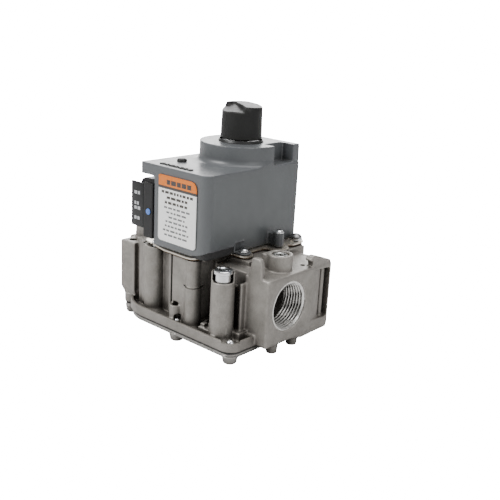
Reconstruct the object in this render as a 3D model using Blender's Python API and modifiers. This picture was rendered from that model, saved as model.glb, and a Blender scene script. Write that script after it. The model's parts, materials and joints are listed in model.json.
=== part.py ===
"""Combination gas valve, built as an assembly of separate pieces.

X runs from the inlet (-X) to the outlet (+X), -Y is the label side and +Z is up. Z = 0 is the plane of
the feet under the bottom cover, and X = Y = 0 is the middle of the valve's footprint. Sizes below are in
millimetres and are turned into metres where the meshes are made.
"""

import math

import bmesh
import bpy
from mathutils import Matrix, Vector

MM = 0.001
GAP = 0.3
ROUND_SIDES = 24
MID_SIDES = 20
SMALL_SIDES = 12
WIRE_LEVEL = 0

# Casting: pipe ports, flange and the block under the cover
PORT_Y = -3.6
PORT_Z = 27.0
PORT_FACE_X = 55.0
PORT_BORE_R = 12.15
PORT_MOUTH_R = 13.5
PORT_DEPTH = 19.0
BOSS_BACK_X = 41.0
BOSS_FRONT_Y = -21.6
BOSS_REAR_Y = 32.4
BOSS_TOP_Z = 44.6
BOSS_BOTTOM_Z = 7.0
FLANGE_X = 47.2
FLANGE_Y = 39.6
FLANGE_BOTTOM_Z = 6.8
FLANGE_TOP_Z = 12.6
TRAY_FLOOR_Z = 9.6
RIM_WIDTH = 1.6
BODY_TOP_Z = 47.6
WALL_FRONT_Y = -28.0
BODY_REAR_Y = 36.0

# Sheets and plates above and below the casting
SHEET_Z = (6.0, 6.5)
BOTTOM_COVER_Z = (3.4, 5.7)
BOTTOM_COVER_INSET = 1.2
TOP_GASKET_Z = (47.9, 48.4)
PLATE_Z = (48.7, 49.5)

# Cover, terminal block and label
COVER_BOTTOM_Z = 49.8
COVER_FRONT_Y = -35.0
COVER_REAR_Y = 39.4
COVER_RIGHT_X = 21.7
COVER_LEFT_X = -29.2
COVER_FACE_LEFT_X = -18.6
COVER_WALL = 2.0
OVERHANG_Z = 88.0
SHELF_Z = 94.4
DRUM_R = 23.1
DRUM_TOP_Z = 105.2
NOTCH_FLOOR_Z = 94.8
LABEL_X = (-13.8, 15.0)
LABEL_Z = (54.1, 90.2)
LABEL_DIVIDER_Z = 83.8
LABEL_THICKNESS = 0.4

# Manual valve under the knob
KNOB_X = -1.7
KNOB_Y = 14.5
KNOB_Z = (106.9, 126.2)
KNOB_R = (11.7, 11.2)
STEM_R = 3.0
ROTOR_FLOOR_Z = 40.0
ROTOR_POCKET_R = 9.6

# Automatic valves
MAIN_X = 4.0
MAIN_Y = -5.0
MAIN_SEAT_Z = 39.0
FIRST_X = -8.4
FIRST_Y = -18.5
SERVO_X = 10.2
SERVO_Y = -20.5
COIL_R = 7.6
COIL_Z = (53.0, 77.0)
TUBE_R = 3.9
TUBE_BORE_R = 3.4
TUBE_CORE_Z = 70.0
TUBE_TOP_Z = 79.0
PLUNGER_R = 3.0
PLUNGER_TOP_Z = 64.0

# Regulator, pressure taps, pilot fitting
REGULATOR_X = 31.6
REGULATOR_Y = -30.9
REGULATOR_R = 6.2
REGULATOR_TOP_Z = 46.5
REGULATOR_FRONT_Z = 41.3
TAP_X = 45.0
TAP_Y = -1.8
TAP_R = 6.8
TAP_TOP_Z = 53.5
PILOT_X = 20.0
PILOT_Z = 30.0

# Terminals and wiring
BLADE_HEIGHTS = (62.0, 70.0, 78.0)
LEAD_X = -20.6
LEAD_BOW = 5.0
LEAD_STEPS = 6

# Screws: (x, y) of each
FOOT_SCREWS = [(42.2, -34.8), (2.4, -35.2), (-45.6, -26.6), (-42.2, 34.6), (2.4, 35.2), (42.2, 34.6)]
COVER_SCREWS = {"cover_screw_front": (25.2, -8.4, 50.8), "cover_screw_side": (28.0, 17.0, 57.6)}
PLATE_SCREW = (-20.5, -31.9)
GROUND_SCREW = (26.0, 35.4)
STUB_BOSS = (0.0, -34.0)


def clear_scene():
    for item in list(bpy.data.objects):
        bpy.data.objects.remove(item)


def new_collection(name):
    collection = bpy.data.collections.new(name)
    bpy.context.scene.collection.children.link(collection)
    return collection


clear_scene()
PARTS = new_collection("gas_valve")
SHAPES = new_collection("gas_valve_cutters")


def material(name, colour, metallic, roughness):
    made = bpy.data.materials.new(name)
    made.use_nodes = True
    shader = made.node_tree.nodes["Principled BSDF"]
    shader.inputs["Base Color"].default_value = (*colour, 1.0)
    shader.inputs["Metallic"].default_value = metallic
    shader.inputs["Roughness"].default_value = roughness
    return made


CAST = material("cast_aluminium", (0.50, 0.48, 0.45), 0.9, 0.45)
PAINT = material("painted_cover", (0.19, 0.20, 0.21), 0.3, 0.4)
BLACK = material("black_plastic", (0.02, 0.02, 0.02), 0.0, 0.35)
STEEL = material("zinc_steel", (0.62, 0.62, 0.60), 1.0, 0.25)
SPRING = material("spring_steel", (0.45, 0.45, 0.47), 1.0, 0.3)
BRASS = material("brass", (0.70, 0.52, 0.25), 1.0, 0.3)
RUBBER = material("rubber", (0.03, 0.03, 0.03), 0.0, 0.7)
COPPER = material("coil_winding", (0.45, 0.16, 0.06), 0.6, 0.4)
WHITE = material("label_white", (0.80, 0.80, 0.78), 0.0, 0.4)
ORANGE = material("label_orange", (0.75, 0.24, 0.03), 0.0, 0.4)
BLUE = material("blue_marker", (0.08, 0.20, 0.60), 0.0, 0.4)


# ---- Shapes -------------------------------------------------------------------------------------------


def shape(mesh):
    """Puts a mesh in the cutter collection; piece() takes the first shape of a part out of it again."""
    item = bpy.data.objects.new("shape", mesh)
    SHAPES.objects.link(item)
    item.hide_render = True
    item.display_type = "WIRE"
    return item


def from_bmesh(bm):
    bmesh.ops.scale(bm, vec=(MM, MM, MM), verts=bm.verts)
    mesh = bpy.data.meshes.new("shape")
    bm.to_mesh(mesh)
    bm.free()
    return shape(mesh)


def block(x, y, z):
    """A box between the limits (low, high) along each axis."""
    bm = bmesh.new()
    bmesh.ops.create_cube(bm, size=1.0)
    spans = [high - low for low, high in (x, y, z)]
    centre = [(low + high) / 2 for low, high in (x, y, z)]
    bmesh.ops.scale(bm, vec=spans, verts=bm.verts)
    bmesh.ops.translate(bm, vec=centre, verts=bm.verts)
    return from_bmesh(bm)


TURNS = {
    "X": Matrix.Rotation(math.pi / 2, 4, "Y"),
    "Y": Matrix.Rotation(-math.pi / 2, 4, "X"),
    "Z": Matrix.Identity(4),
}


def cylinder(at, span, radius, end_radius=None, axis="Z", sides=ROUND_SIDES):
    """A cylinder or cone: at = the two coordinates across its axis, span = (start, end) along it."""
    start, end = span
    end_radius = radius if end_radius is None else end_radius
    bm = bmesh.new()
    bmesh.ops.create_cone(
        bm, cap_ends=True, segments=sides, radius1=radius, radius2=end_radius, depth=end - start
    )
    bmesh.ops.transform(bm, matrix=TURNS[axis], verts=bm.verts)
    middle = (start + end) / 2
    centre = {"X": (middle, *at), "Y": (at[0], middle, at[1]), "Z": (*at, middle)}[axis]
    bmesh.ops.translate(bm, vec=centre, verts=bm.verts)
    return from_bmesh(bm)


def rounded(corners, inset=0.0, steps=5):
    """Outline points from (x, y, radius) corners given anticlockwise, moved in by the inset."""
    points = []
    count = len(corners)
    for index, (x, y, radius) in enumerate(corners):
        here = Vector((x, y))
        before = Vector(corners[index - 1][:2]) - here
        after = Vector(corners[(index + 1) % count][:2]) - here
        before.normalize()
        after.normalize()
        bisector = (before + after).normalized()
        half_angle = before.angle(after) / 2
        convex = before.cross(after) < 0
        inward = inset if convex else -inset
        inner = here + bisector * (inward / math.sin(half_angle))
        size = max(radius - inward, 0.0)
        if size < 0.05:
            points.append(tuple(inner))
            continue
        reach = size / math.tan(half_angle)
        centre = inner + bisector * (size / math.sin(half_angle))
        first = inner + before * reach - centre
        sweep = first.angle_signed(inner + after * reach - centre)
        for step in range(steps + 1):
            arm = first.copy()
            arm.rotate(Matrix.Rotation(-sweep * step / steps, 2))
            points.append(tuple(centre + arm))
    return points


def prism(points, z):
    """A flat outline of (x, y) points given a thickness between two heights."""
    curve = bpy.data.curves.new("outline", "CURVE")
    curve.dimensions = "2D"
    curve.fill_mode = "BOTH"
    curve.extrude = (z[1] - z[0]) / 2 * MM
    spline = curve.splines.new("POLY")
    spline.points.add(len(points) - 1)
    for point, (x, y) in zip(spline.points, points):
        point.co = (x * MM, y * MM, 0.0, 1.0)
    spline.use_cyclic_u = True
    item = bpy.data.objects.new("outline", curve)
    item.location.z = (z[0] + z[1]) / 2 * MM
    return mesh_of_curve(item)


def mesh_of_curve(item):
    """The closed mesh of a curve object, which is removed."""
    SHAPES.objects.link(item)
    bpy.context.view_layer.update()
    graph = bpy.context.evaluated_depsgraph_get()
    mesh = bpy.data.meshes.new_from_object(item.evaluated_get(graph))
    mesh.transform(item.matrix_world)
    curve = item.data
    bpy.data.objects.remove(item)
    bpy.data.curves.remove(curve)
    bm = bmesh.new()
    bm.from_mesh(mesh)
    bmesh.ops.remove_doubles(bm, verts=bm.verts, dist=1e-6)
    bm.to_mesh(mesh)
    bm.free()
    mesh.materials.clear()
    return shape(mesh)


def turned(profile, at, axis="Z", sides=ROUND_SIDES):
    """A profile of (radius, height) points turned about an axis; a closed profile leaves a bore."""
    bm = bmesh.new()
    points = [bm.verts.new((radius, 0.0, height)) for radius, height in profile]
    for first, second in zip(points, points[1:]):
        bm.edges.new((first, second))
    if profile[0][0] > 0.0:
        bm.edges.new((points[-1], points[0]))
    item = from_bmesh(bm)
    screw = item.modifiers.new("turn", "SCREW")
    screw.steps = sides
    screw.render_steps = sides
    screw.use_merge_vertices = True
    screw.merge_threshold = 1e-5
    matrix = TURNS[axis].copy()
    matrix.translation = Vector(at) * MM
    item.matrix_world = matrix
    return item


def sweep(points, radius):
    """A round wire along a list of (x, y, z) points."""
    curve = bpy.data.curves.new("wire", "CURVE")
    curve.dimensions = "3D"
    curve.bevel_depth = radius * MM
    curve.bevel_resolution = WIRE_LEVEL
    curve.use_fill_caps = True
    spline = curve.splines.new("POLY")
    spline.points.add(len(points) - 1)
    for point, place in zip(spline.points, points):
        point.co = (*(value * MM for value in place), 1.0)
    return mesh_of_curve(bpy.data.objects.new("wire", curve))


def upright(points, y):
    """An outline of (x, z) points given a thickness along Y."""
    item = prism(points, y)
    item.data.transform(Matrix(((1, 0, 0, 0), (0, 0, 1, 0), (0, 1, 0, 0), (0, 0, 0, 1))))
    item.data.flip_normals()
    return item


def coil_spring(at, radius, wire, z, turns, points_per_turn=8):
    """A compression spring standing along Z between the two heights."""
    count = turns * points_per_turn
    low = z[0] + wire
    rise = z[1] - z[0] - 2 * wire
    route = []
    for index in range(count + 1):
        angle = 2 * math.pi * index / points_per_turn
        route.append(
            (at[0] + radius * math.cos(angle), at[1] + radius * math.sin(angle), low + rise * index / count)
        )
    return sweep(route, wire)


def bevelled(item, width):
    """Rounds the sharp edges of a shape."""
    bevel = item.modifiers.new("edge", "BEVEL")
    bevel.width = width * MM
    bevel.segments = 2
    bevel.limit_method = "ANGLE"
    bevel.angle_limit = 0.5
    return item


def boolean(item, operation, others, name):
    """One exact Boolean of an object with all the shapes of a collection."""
    group = bpy.data.collections.new(name)
    SHAPES.children.link(group)
    for other in others:
        SHAPES.objects.unlink(other)
        group.objects.link(other)
    modifier = item.modifiers.new(operation.lower(), "BOOLEAN")
    modifier.operation = operation
    modifier.solver = "EXACT"
    modifier.operand_type = "COLLECTION"
    modifier.collection = group
    return item


def combine(adds, cuts, name):
    item = adds[0]
    if len(adds) > 1:
        boolean(item, "UNION", adds[1:], name + "_joined")
    if cuts:
        boolean(item, "DIFFERENCE", cuts, name + "_cut")
    return item


def piece(name, look, adds, cuts=(), axis_at=None):
    """A named part: the first shape with the others joined to it and the cuts taken away."""
    item = combine(list(adds), list(cuts), name)
    SHAPES.objects.unlink(item)
    PARTS.objects.link(item)
    item.hide_render = False
    item.display_type = "TEXTURED"
    item.name = name
    item.data.name = name
    item.data.materials.append(look)
    item.data.shade_smooth()
    item.data.set_sharp_from_angle(angle=math.radians(35))
    if axis_at is not None:
        origin = Vector(axis_at) * MM
        item.data.transform(Matrix.Translation(-origin) @ item.matrix_world)
        item.matrix_world = Matrix.Translation(origin)
    return item


def mirrored(x):
    """The same X span on the other side of the middle."""
    return (-x[1], -x[0])


# ---- Casting ------------------------------------------------------------------------------------------

FLANGE_CORNERS = [
    (-FLANGE_X, -FLANGE_Y, 24.0),
    (FLANGE_X, -FLANGE_Y, 7.0),
    (FLANGE_X, FLANGE_Y, 12.0),
    (-FLANGE_X, FLANGE_Y, 12.0),
]
FOOT_LOBE_R = 4.8
EAR = [
    (40.6, 42.0),
    (50.2, 42.0),
    (49.7, 47.0),
    (49.2, 51.4),
    (48.6, 53.4),
    (47.6, 54.5),
    (46.2, 54.9),
    (43.4, 54.9),
    (42.3, 54.0),
]
HOOK = [
    (15.5, 43.0),
    (31.6, 43.0),
    (31.4, 45.8),
    (22.0, 49.2),
    (17.0, 50.9),
    (14.0, 50.4),
    (12.6, 49.0),
    (13.4, 47.9),
    (15.0, 48.2),
]


def port_side(side):
    """The square boss of one pipe port with its ear, pressure tap and hook; side is +1 or -1."""

    def span(low, high):
        return (low, high) if side > 0 else mirrored((low, high))

    boss_x = span(BOSS_BACK_X - 3.0, PORT_FACE_X)
    adds = [
        bevelled(block(boss_x, (BOSS_FRONT_Y, BOSS_REAR_Y), (BOSS_BOTTOM_Z, BOSS_TOP_Z)), 1.0),
        upright([(side * x, z) for x, z in EAR[::side]], (BOSS_FRONT_Y, BOSS_FRONT_Y + 2.7)),
        block(span(36.5, TAP_X), (-7.0, 3.0), (BOSS_TOP_Z - 3.0, 52.8)),
        block(span(33.0, 40.0), (-6.0, 3.0), (BOSS_TOP_Z - 3.0, 49.3)),
        cylinder((side * TAP_X, TAP_Y), (BOSS_TOP_Z - 3.0, TAP_TOP_Z), TAP_R),
        side_prism(HOOK, span(50.6, 54.6)),
        cylinder((side * 50.6, -11.4), (1.6, 10.0), 3.0, 4.0, sides=SMALL_SIDES),
        cylinder((side * 50.8, 5.2), (1.6, 10.0), 3.0, 4.0, sides=SMALL_SIDES),
    ]
    pocket = rounded([(14.4, 13.4, 1.5), (31.2, 12.2, 1.5), (31.2, 41.4, 1.5), (16.4, 42.4, 1.5)], steps=2)
    cuts = [
        cylinder((PORT_Y, PORT_Z), span(PORT_FACE_X - PORT_DEPTH, PORT_FACE_X + 1.0), PORT_BORE_R, axis="X"),
        port_mouth(side),
        side_prism(pocket, span(44.0, PORT_FACE_X + 1.0)),
        cylinder((side * TAP_X, TAP_Y), (TAP_TOP_Z - 8.0, TAP_TOP_Z + 1.0), 4.6, sides=MID_SIDES),
        cylinder((side * TAP_X, TAP_Y), (PORT_Z, TAP_TOP_Z - 7.0), 1.2, sides=SMALL_SIDES),
    ]
    return adds, cuts


def port_mouth(side):
    """The conical mouth of a port."""
    face = side * PORT_FACE_X
    inner = side * (PORT_FACE_X - 1.2)
    outer = side * (PORT_FACE_X + 1.2)
    low, high = sorted((inner, outer))
    small, large = PORT_BORE_R - 0.1, PORT_MOUTH_R + (PORT_MOUTH_R - PORT_BORE_R)
    ends = (small, large) if face > 0 else (large, small)
    return cylinder((PORT_Y, PORT_Z), (low, high), ends[0], ends[1], axis="X")


def side_prism(points, x):
    """A prism along X whose outline is given as (y, z) points."""
    item = prism(points, x)
    turn = Matrix(((0, 0, 1, 0), (1, 0, 0, 0), (0, 1, 0, 0), (0, 0, 0, 1)))
    item.data.transform(turn)
    return item


def front_details():
    """Pillars, ribs and small bosses on the label side, standing in the tray."""
    low = TRAY_FLOOR_Z - 1.5
    top = BODY_TOP_Z
    return [
        bevelled(block((-50.4, -39.4), (-30.8, -18.0), (14.5, BOSS_TOP_Z)), 1.2),
        bevelled(block((-48.6, -38.0), (-29.4, -18.0), (FLANGE_BOTTOM_Z + 0.4, 16.0)), 1.0),
        cylinder((-23.0, -29.6), (low, top), 6.0, 5.8),
        block((-32.4, -30.6), (-31.6, WALL_FRONT_Y + 1.0), (low, top)),
        block((-7.2, -5.4), (-33.4, WALL_FRONT_Y + 1.0), (low, top)),
        block((-3.4, 6.8), (-34.4, WALL_FRONT_Y + 1.0), (low, top)),
        cylinder((10.6, -31.8), (low, top), 3.9, 3.8, sides=MID_SIDES),
        cylinder((10.6, -31.8), (low, 32.8), 4.5, 4.4, sides=MID_SIDES),
        block((7.4, 13.8), (-32.0, WALL_FRONT_Y + 1.0), (low, top)),
        cylinder(STUB_BOSS, (low, 19.8), 3.95, 3.7, sides=MID_SIDES),
        cylinder((REGULATOR_X, REGULATOR_Y), (low, REGULATOR_TOP_Z), REGULATOR_R + 0.3, REGULATOR_R),
        block((29.6, 32.4), (REGULATOR_Y, -18.0), (low, 36.0)),
        block((38.0, 39.8), (-25.4, -18.0), (low, 40.0)),
        block((34.0, 42.0), (-28.4, -20.0), (low, 14.0)),
        block((17.6, 27.4), (-34.4, -20.0), (low, 12.4)),
        cylinder((42.2, -34.8), (low, 10.6), 3.6, sides=MID_SIDES),
    ]


def main_body():
    low = TRAY_FLOOR_Z - 1.5
    flange = prism(rounded(FLANGE_CORNERS, steps=6), (FLANGE_BOTTOM_Z, FLANGE_TOP_Z))
    lobe = cylinder(FOOT_SCREWS[2], (FLANGE_BOTTOM_Z, FLANGE_TOP_Z - 0.4), FOOT_LOBE_R, sides=MID_SIDES)
    outlet_adds, outlet_cuts = port_side(1)
    inlet_adds, inlet_cuts = port_side(-1)
    blocks = [
        block((-40.0, 15.0), (WALL_FRONT_Y, BODY_REAR_Y), (low, BODY_TOP_Z)),
        block((-42.0, 42.0), (-19.6, BOSS_REAR_Y - 1.0), (low, BOSS_TOP_Z)),
        block((10.0, 32.4), (-12.4, BODY_REAR_Y), (BOSS_TOP_Z - 2.0, BODY_TOP_Z)),
        cylinder(GROUND_SCREW, (36.0, BODY_TOP_Z), 4.0, sides=MID_SIDES),
        block((22.4, 31.6), (28.0, 35.6), (36.0, BODY_TOP_Z)),
        cylinder((PILOT_X, PILOT_Z), (BODY_REAR_Y - 2.0, BODY_REAR_Y + 1.6), 6.4, axis="Y", sides=MID_SIDES),
        cylinder((2.0, PILOT_Z), (BODY_REAR_Y - 2.0, BODY_REAR_Y + 1.6), 5.0, axis="Y", sides=MID_SIDES),
    ]
    tray = rounded(FLANGE_CORNERS, RIM_WIDTH, steps=6)
    # The tray is left open only in front of the walls, so its cutter stops at the body's blocks.
    tray_cut = combine(
        [prism(tray, (TRAY_FLOOR_Z, FLANGE_TOP_Z + 1.0))],
        [
            block((-41.0, 43.0), (-21.0, 45.0), (8.0, 15.0)),
            block((-60.0, -39.0), (-60.0, 45.0), (8.0, 15.0)),
            block((-41.0, 16.0), (WALL_FRONT_Y + 1.5, 45.0), (8.0, 15.0)),
            block((40.0, 60.0), (BOSS_FRONT_Y - 1.5, 45.0), (8.0, 15.0)),
        ],
        "tray",
    )
    flange = combine([flange], [tray_cut], "flange")
    piece(
        "main_body",
        CAST,
        [flange, lobe, *blocks, *outlet_adds, *inlet_adds, *front_details()],
        [*outlet_cuts, *inlet_cuts, *gas_passages(), *screw_holes()],
    )


def gas_passages():
    """Inlet chamber, rotor pocket, the valves' wells, diaphragm chamber, regulator and pilot bores."""
    first = (FIRST_X, FIRST_Y)
    main = (MAIN_X, MAIN_Y)
    regulator_at = (REGULATOR_X, REGULATOR_Y)
    return [
        block((-38.0, -22.0), (-16.0, 19.0), (16.5, 37.5)),
        block((-24.0, -3.0), (10.2, 18.8), (29.0, 37.4)),
        cylinder((KNOB_X - 4.8, KNOB_Y), (36.0, ROTOR_FLOOR_Z + 1.0), 2.8, sides=SMALL_SIDES),
        cylinder((KNOB_X, KNOB_Y), (ROTOR_FLOOR_Z, BODY_TOP_Z + 1.0), ROTOR_POCKET_R),
        block((-17.0, -11.2), (-17.0, 12.0), (43.0, BODY_TOP_Z + 1.0)),
        cylinder(first, (36.0, BODY_TOP_Z + 1.0), 5.6, sides=MID_SIDES),
        cylinder(first, (31.0, 37.0), 2.6, sides=SMALL_SIDES),
        block((-10.8, -4.4), (-20.6, -9.0), (28.0, 32.0)),
        cylinder((-6.2, -10.0), (29.0, 45.0), 2.8, sides=SMALL_SIDES),
        cylinder(main, (MAIN_SEAT_Z, BODY_TOP_Z + 1.0), 9.0),
        cylinder(main, (PORT_Z, MAIN_SEAT_Z + 1.0), 6.0, sides=MID_SIDES),
        cylinder((PORT_Y, PORT_Z), (-1.0, PORT_FACE_X - PORT_DEPTH + 1.0), 10.6, axis="X", sides=MID_SIDES),
        cylinder(main, (5.0, 14.4), 17.6),
        cylinder(main, (12.0, PORT_Z), 2.1, sides=SMALL_SIDES),
        cylinder((SERVO_X, SERVO_Y), (41.0, BODY_TOP_Z + 1.0), 1.4, sides=SMALL_SIDES),
        cylinder(regulator_at, (17.0, 37.0), 3.8, sides=MID_SIDES),
        cylinder(regulator_at, (36.6, REGULATOR_TOP_Z + 1.0), 4.7, sides=MID_SIDES),
        cylinder(regulator_at, (REGULATOR_FRONT_Z, REGULATOR_TOP_Z + 1.0), 5.4),
        regulator_front(),
        cylinder((PILOT_X, PILOT_Z), (BODY_REAR_Y - 8.0, BODY_REAR_Y + 3.0), 4.3, axis="Y", sides=MID_SIDES),
        cylinder((2.0, PILOT_Z), (BODY_REAR_Y - 8.0, BODY_REAR_Y + 3.0), 2.4, axis="Y", sides=SMALL_SIDES),
        block((2.0, PILOT_X), (BODY_REAR_Y - 7.4, BODY_REAR_Y - 5.0), (PILOT_Z - 1.2, PILOT_Z + 1.2)),
    ]


def regulator_front():
    """Cut that opens the regulator's pillar towards the valve's front right corner."""
    cut = block((-8.0, 8.0), (-9.0, -1.5), (REGULATOR_FRONT_Z, REGULATOR_TOP_Z + 1.0))
    turn = Matrix.Rotation(math.radians(41.0), 4, "Z")
    cut.data.transform(Matrix.Translation(Vector((REGULATOR_X, REGULATOR_Y, 0.0)) * MM) @ turn)
    return cut


def screw_holes():
    """Holes for the foot screws, the cover screws, the corner column and the stub boss."""
    holes = [cylinder(at, (5.0, 15.0), 1.9, sides=SMALL_SIDES) for at in FOOT_SCREWS]
    for x, y, _ in COVER_SCREWS.values():
        holes.append(cylinder((x, y), (38.6, BODY_TOP_Z + 1.0), 1.9, sides=SMALL_SIDES))
    holes.append(cylinder(PLATE_SCREW, (40.0, BODY_TOP_Z + 1.0), 1.6, sides=SMALL_SIDES))
    holes.append(cylinder((-45.4, -26.0), (32.0, BOSS_TOP_Z + 1.0), 2.3, sides=SMALL_SIDES))
    holes.append(cylinder(STUB_BOSS, (14.0, 21.0), 2.0, sides=SMALL_SIDES))
    holes.append(cylinder(GROUND_SCREW, (38.0, BODY_TOP_Z + 1.0), 1.5, sides=SMALL_SIDES))
    return holes


def inlet_screen():
    """Strainer disc at the inner end of the inlet port."""
    centre = -PORT_FACE_X + PORT_DEPTH - 1.4
    holes = []
    for row in (-1, 0, 1):
        for column in (-1, 0, 1):
            y = PORT_Y + column * 5.6
            z = PORT_Z + row * 5.6
            holes.append(block((centre - 2.0, centre + 2.0), (y - 2.0, y + 2.0), (z - 2.0, z + 2.0)))
    span = (centre - 0.4, centre + 0.4)
    disc = cylinder((PORT_Y, PORT_Z), span, PORT_BORE_R - GAP, axis="X", sides=MID_SIDES)
    piece("inlet_screen", STEEL, [disc], holes)


def bottom_cover():
    """Diaphragm sheet and the plate under the flange, whose tapered feet carry the screws."""
    sheet = prism(rounded(FLANGE_CORNERS, BOTTOM_COVER_INSET - 0.4, steps=6), SHEET_Z)
    lobe = cylinder(FOOT_SCREWS[2], SHEET_Z, FOOT_LOBE_R - 0.6, sides=MID_SIDES)
    holes = [cylinder(at, (5.0, 8.0), 1.9, sides=SMALL_SIDES) for at in FOOT_SCREWS]
    piece("diaphragm_sheet", RUBBER, [sheet, lobe], holes)
    plate = prism(rounded(FLANGE_CORNERS, BOTTOM_COVER_INSET, steps=6), BOTTOM_COVER_Z)
    adds = [plate, cylinder(FOOT_SCREWS[2], BOTTOM_COVER_Z, FOOT_LOBE_R - 0.8, sides=MID_SIDES)]
    cuts = [cylinder((MAIN_X, MAIN_Y), (BOTTOM_COVER_Z[1] - 1.0, 7.0), 17.6)]
    for at in FOOT_SCREWS:
        adds.append(cylinder(at, (0.0, BOTTOM_COVER_Z[1] - 0.4), 3.7, 4.3, sides=SMALL_SIDES))
        cuts.append(cylinder(at, (-1.0, 2.4), 2.7, sides=SMALL_SIDES))
        cuts.append(cylinder(at, (-1.0, 8.0), 1.9, sides=SMALL_SIDES))
    piece("bottom_cover", CAST, adds, cuts)
    for number, at in enumerate(FOOT_SCREWS, 1):
        profile = [(0.0, 12.6), (0.9, 12.3), (1.4, 11.4), (1.4, 2.1), (2.4, 2.1), (2.4, 0.6), (0.0, 0.4)]
        piece(f"foot_screw_{number}", STEEL, [turned(profile, (*at, 0.0), sides=SMALL_SIDES)])


# ---- Top gasket and mounting plate --------------------------------------------------------------------

PLATE_CORNERS = [
    (-29.6, -31.4, 3.0),
    (-8.0, -36.3, 8.0),
    (14.8, -36.5, 5.0),
    (14.8, -12.4, 5.0),
    (29.8, -12.4, 4.0),
    (29.8, -4.0, 4.0),
    (24.0, -3.2, 3.0),
    (24.0, 10.0, 2.0),
    (33.0, 11.6, 4.0),
    (33.0, 22.0, 4.0),
    (25.0, 24.0, 2.0),
    (30.6, 27.0, 3.0),
    (30.6, 39.4, 4.0),
    (-29.6, 39.4, 4.0),
]


def plate_holes(z):
    """Holes that the gasket and the mounting plate share: the two solenoid valves' and the screws'."""
    holes = [
        cylinder((FIRST_X, FIRST_Y), z, 2.4, sides=SMALL_SIDES),
        cylinder((SERVO_X, SERVO_Y), z, 1.2, sides=SMALL_SIDES),
    ]
    for x, y, _ in COVER_SCREWS.values():
        holes.append(cylinder((x, y), z, 1.9, sides=SMALL_SIDES))
    holes.append(cylinder(PLATE_SCREW, z, 1.6, sides=SMALL_SIDES))
    holes.append(cylinder(GROUND_SCREW, z, 1.5, sides=SMALL_SIDES))
    return holes


def top_plates():
    gasket = prism(rounded(PLATE_CORNERS, 0.9, steps=2), TOP_GASKET_Z)
    z = (47.0, 49.0)
    wide = [cylinder((MAIN_X, MAIN_Y), z, 8.6), cylinder((KNOB_X, KNOB_Y), z, 8.8)]
    piece("top_gasket", RUBBER, [gasket], [*wide, *plate_holes(z)])
    z = (48.0, 50.0)
    stem_hole = cylinder((KNOB_X, KNOB_Y), z, STEM_R + 0.4, sides=MID_SIDES)
    plate = prism(rounded(PLATE_CORNERS, steps=3), PLATE_Z)
    piece("mounting_plate", STEEL, [plate], [stem_hole, *plate_holes(z)])


# ---- Manual valve -------------------------------------------------------------------------------------


def manual_valve():
    """Rotor, stem, knob with its bezel, and the spring that lifts the knob back up."""
    at = (KNOB_X, KNOB_Y)
    axis = (KNOB_X, KNOB_Y, 0.0)
    rotor = [
        cylinder(at, (ROTOR_FLOOR_Z + GAP, 44.0), ROTOR_POCKET_R - 0.5),
        cylinder(at, (43.0, 47.0), 5.4, sides=MID_SIDES),
    ]
    rotor_cuts = [
        cylinder((KNOB_X - 4.8, KNOB_Y), (38.0, 43.4), 2.8, sides=SMALL_SIDES),
        block((KNOB_X - 9.6, KNOB_X - 4.8), (KNOB_Y - 2.8, KNOB_Y + 2.8), (42.0, 45.0)),
        block((KNOB_X - 2.4, KNOB_X + 2.4), (KNOB_Y - 2.4, KNOB_Y + 2.4), (41.4, 48.0)),
    ]
    piece("manual_valve_rotor", BRASS, rotor, rotor_cuts, axis)

    shaft = cylinder(at, (48.6, 116.0), STEM_R, sides=MID_SIDES)
    collar = cylinder(at, (60.0, 61.6), 5.2, sides=MID_SIDES)
    tongue = block((KNOB_X - 2.0, KNOB_X + 2.0), (KNOB_Y - 2.0, KNOB_Y + 2.0), (42.9, 49.0))
    flat = block((KNOB_X + 2.2, KNOB_X + 4.0), (KNOB_Y - 4.0, KNOB_Y + 4.0), (107.5, 117.0))
    piece("knob_stem", STEEL, [shaft, collar, tongue], [flat], axis)

    washer = turned([(5.6, 59.7), (5.6, 58.6), (3.4, 58.6), (3.4, 59.7)], (*at, 0.0), sides=MID_SIDES)
    piece("knob_spring_washer", STEEL, [washer], (), axis)
    piece("knob_spring", SPRING, [coil_spring(at, 4.6, 0.45, (49.8, 58.3), 4)])

    low, high = KNOB_Z
    hollow = cylinder(at, (low - 1.0, 109.0), 9.2, sides=MID_SIDES)
    skirt = combine([cylinder(at, (low, high), *KNOB_R)], [hollow, grip_slope()], "skirt")
    hub = cylinder(at, (low + 1.0, 112.0), 4.6, sides=MID_SIDES)
    stem_hole = cylinder(at, (low - 1.0, 116.4), STEM_R + GAP, sides=MID_SIDES)
    piece("knob", BLACK, [skirt, hub], [stem_hole], axis)

    ring = [(12.75, 107.1), (12.75, 105.5), (12.0, 105.5), (12.0, 107.1)]
    piece("knob_bezel", BLACK, [turned(ring, (*at, 0.0))])


def grip_slope():
    """The scoop in the knob's top, which leaves a raised grip across it."""
    wedge = cylinder((KNOB_X - 13.5, 134.0), (KNOB_Y - 14.0, KNOB_Y + 14.0), 14.0, axis="Y")
    turn = Matrix.Translation(Vector((KNOB_X, KNOB_Y, 0.0)) * MM)
    turn = turn @ Matrix.Rotation(math.radians(28.0), 4, "Z") @ turn.inverted()
    wedge.data.transform(turn)
    return wedge


# ---- Automatic valves ---------------------------------------------------------------------------------


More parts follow.
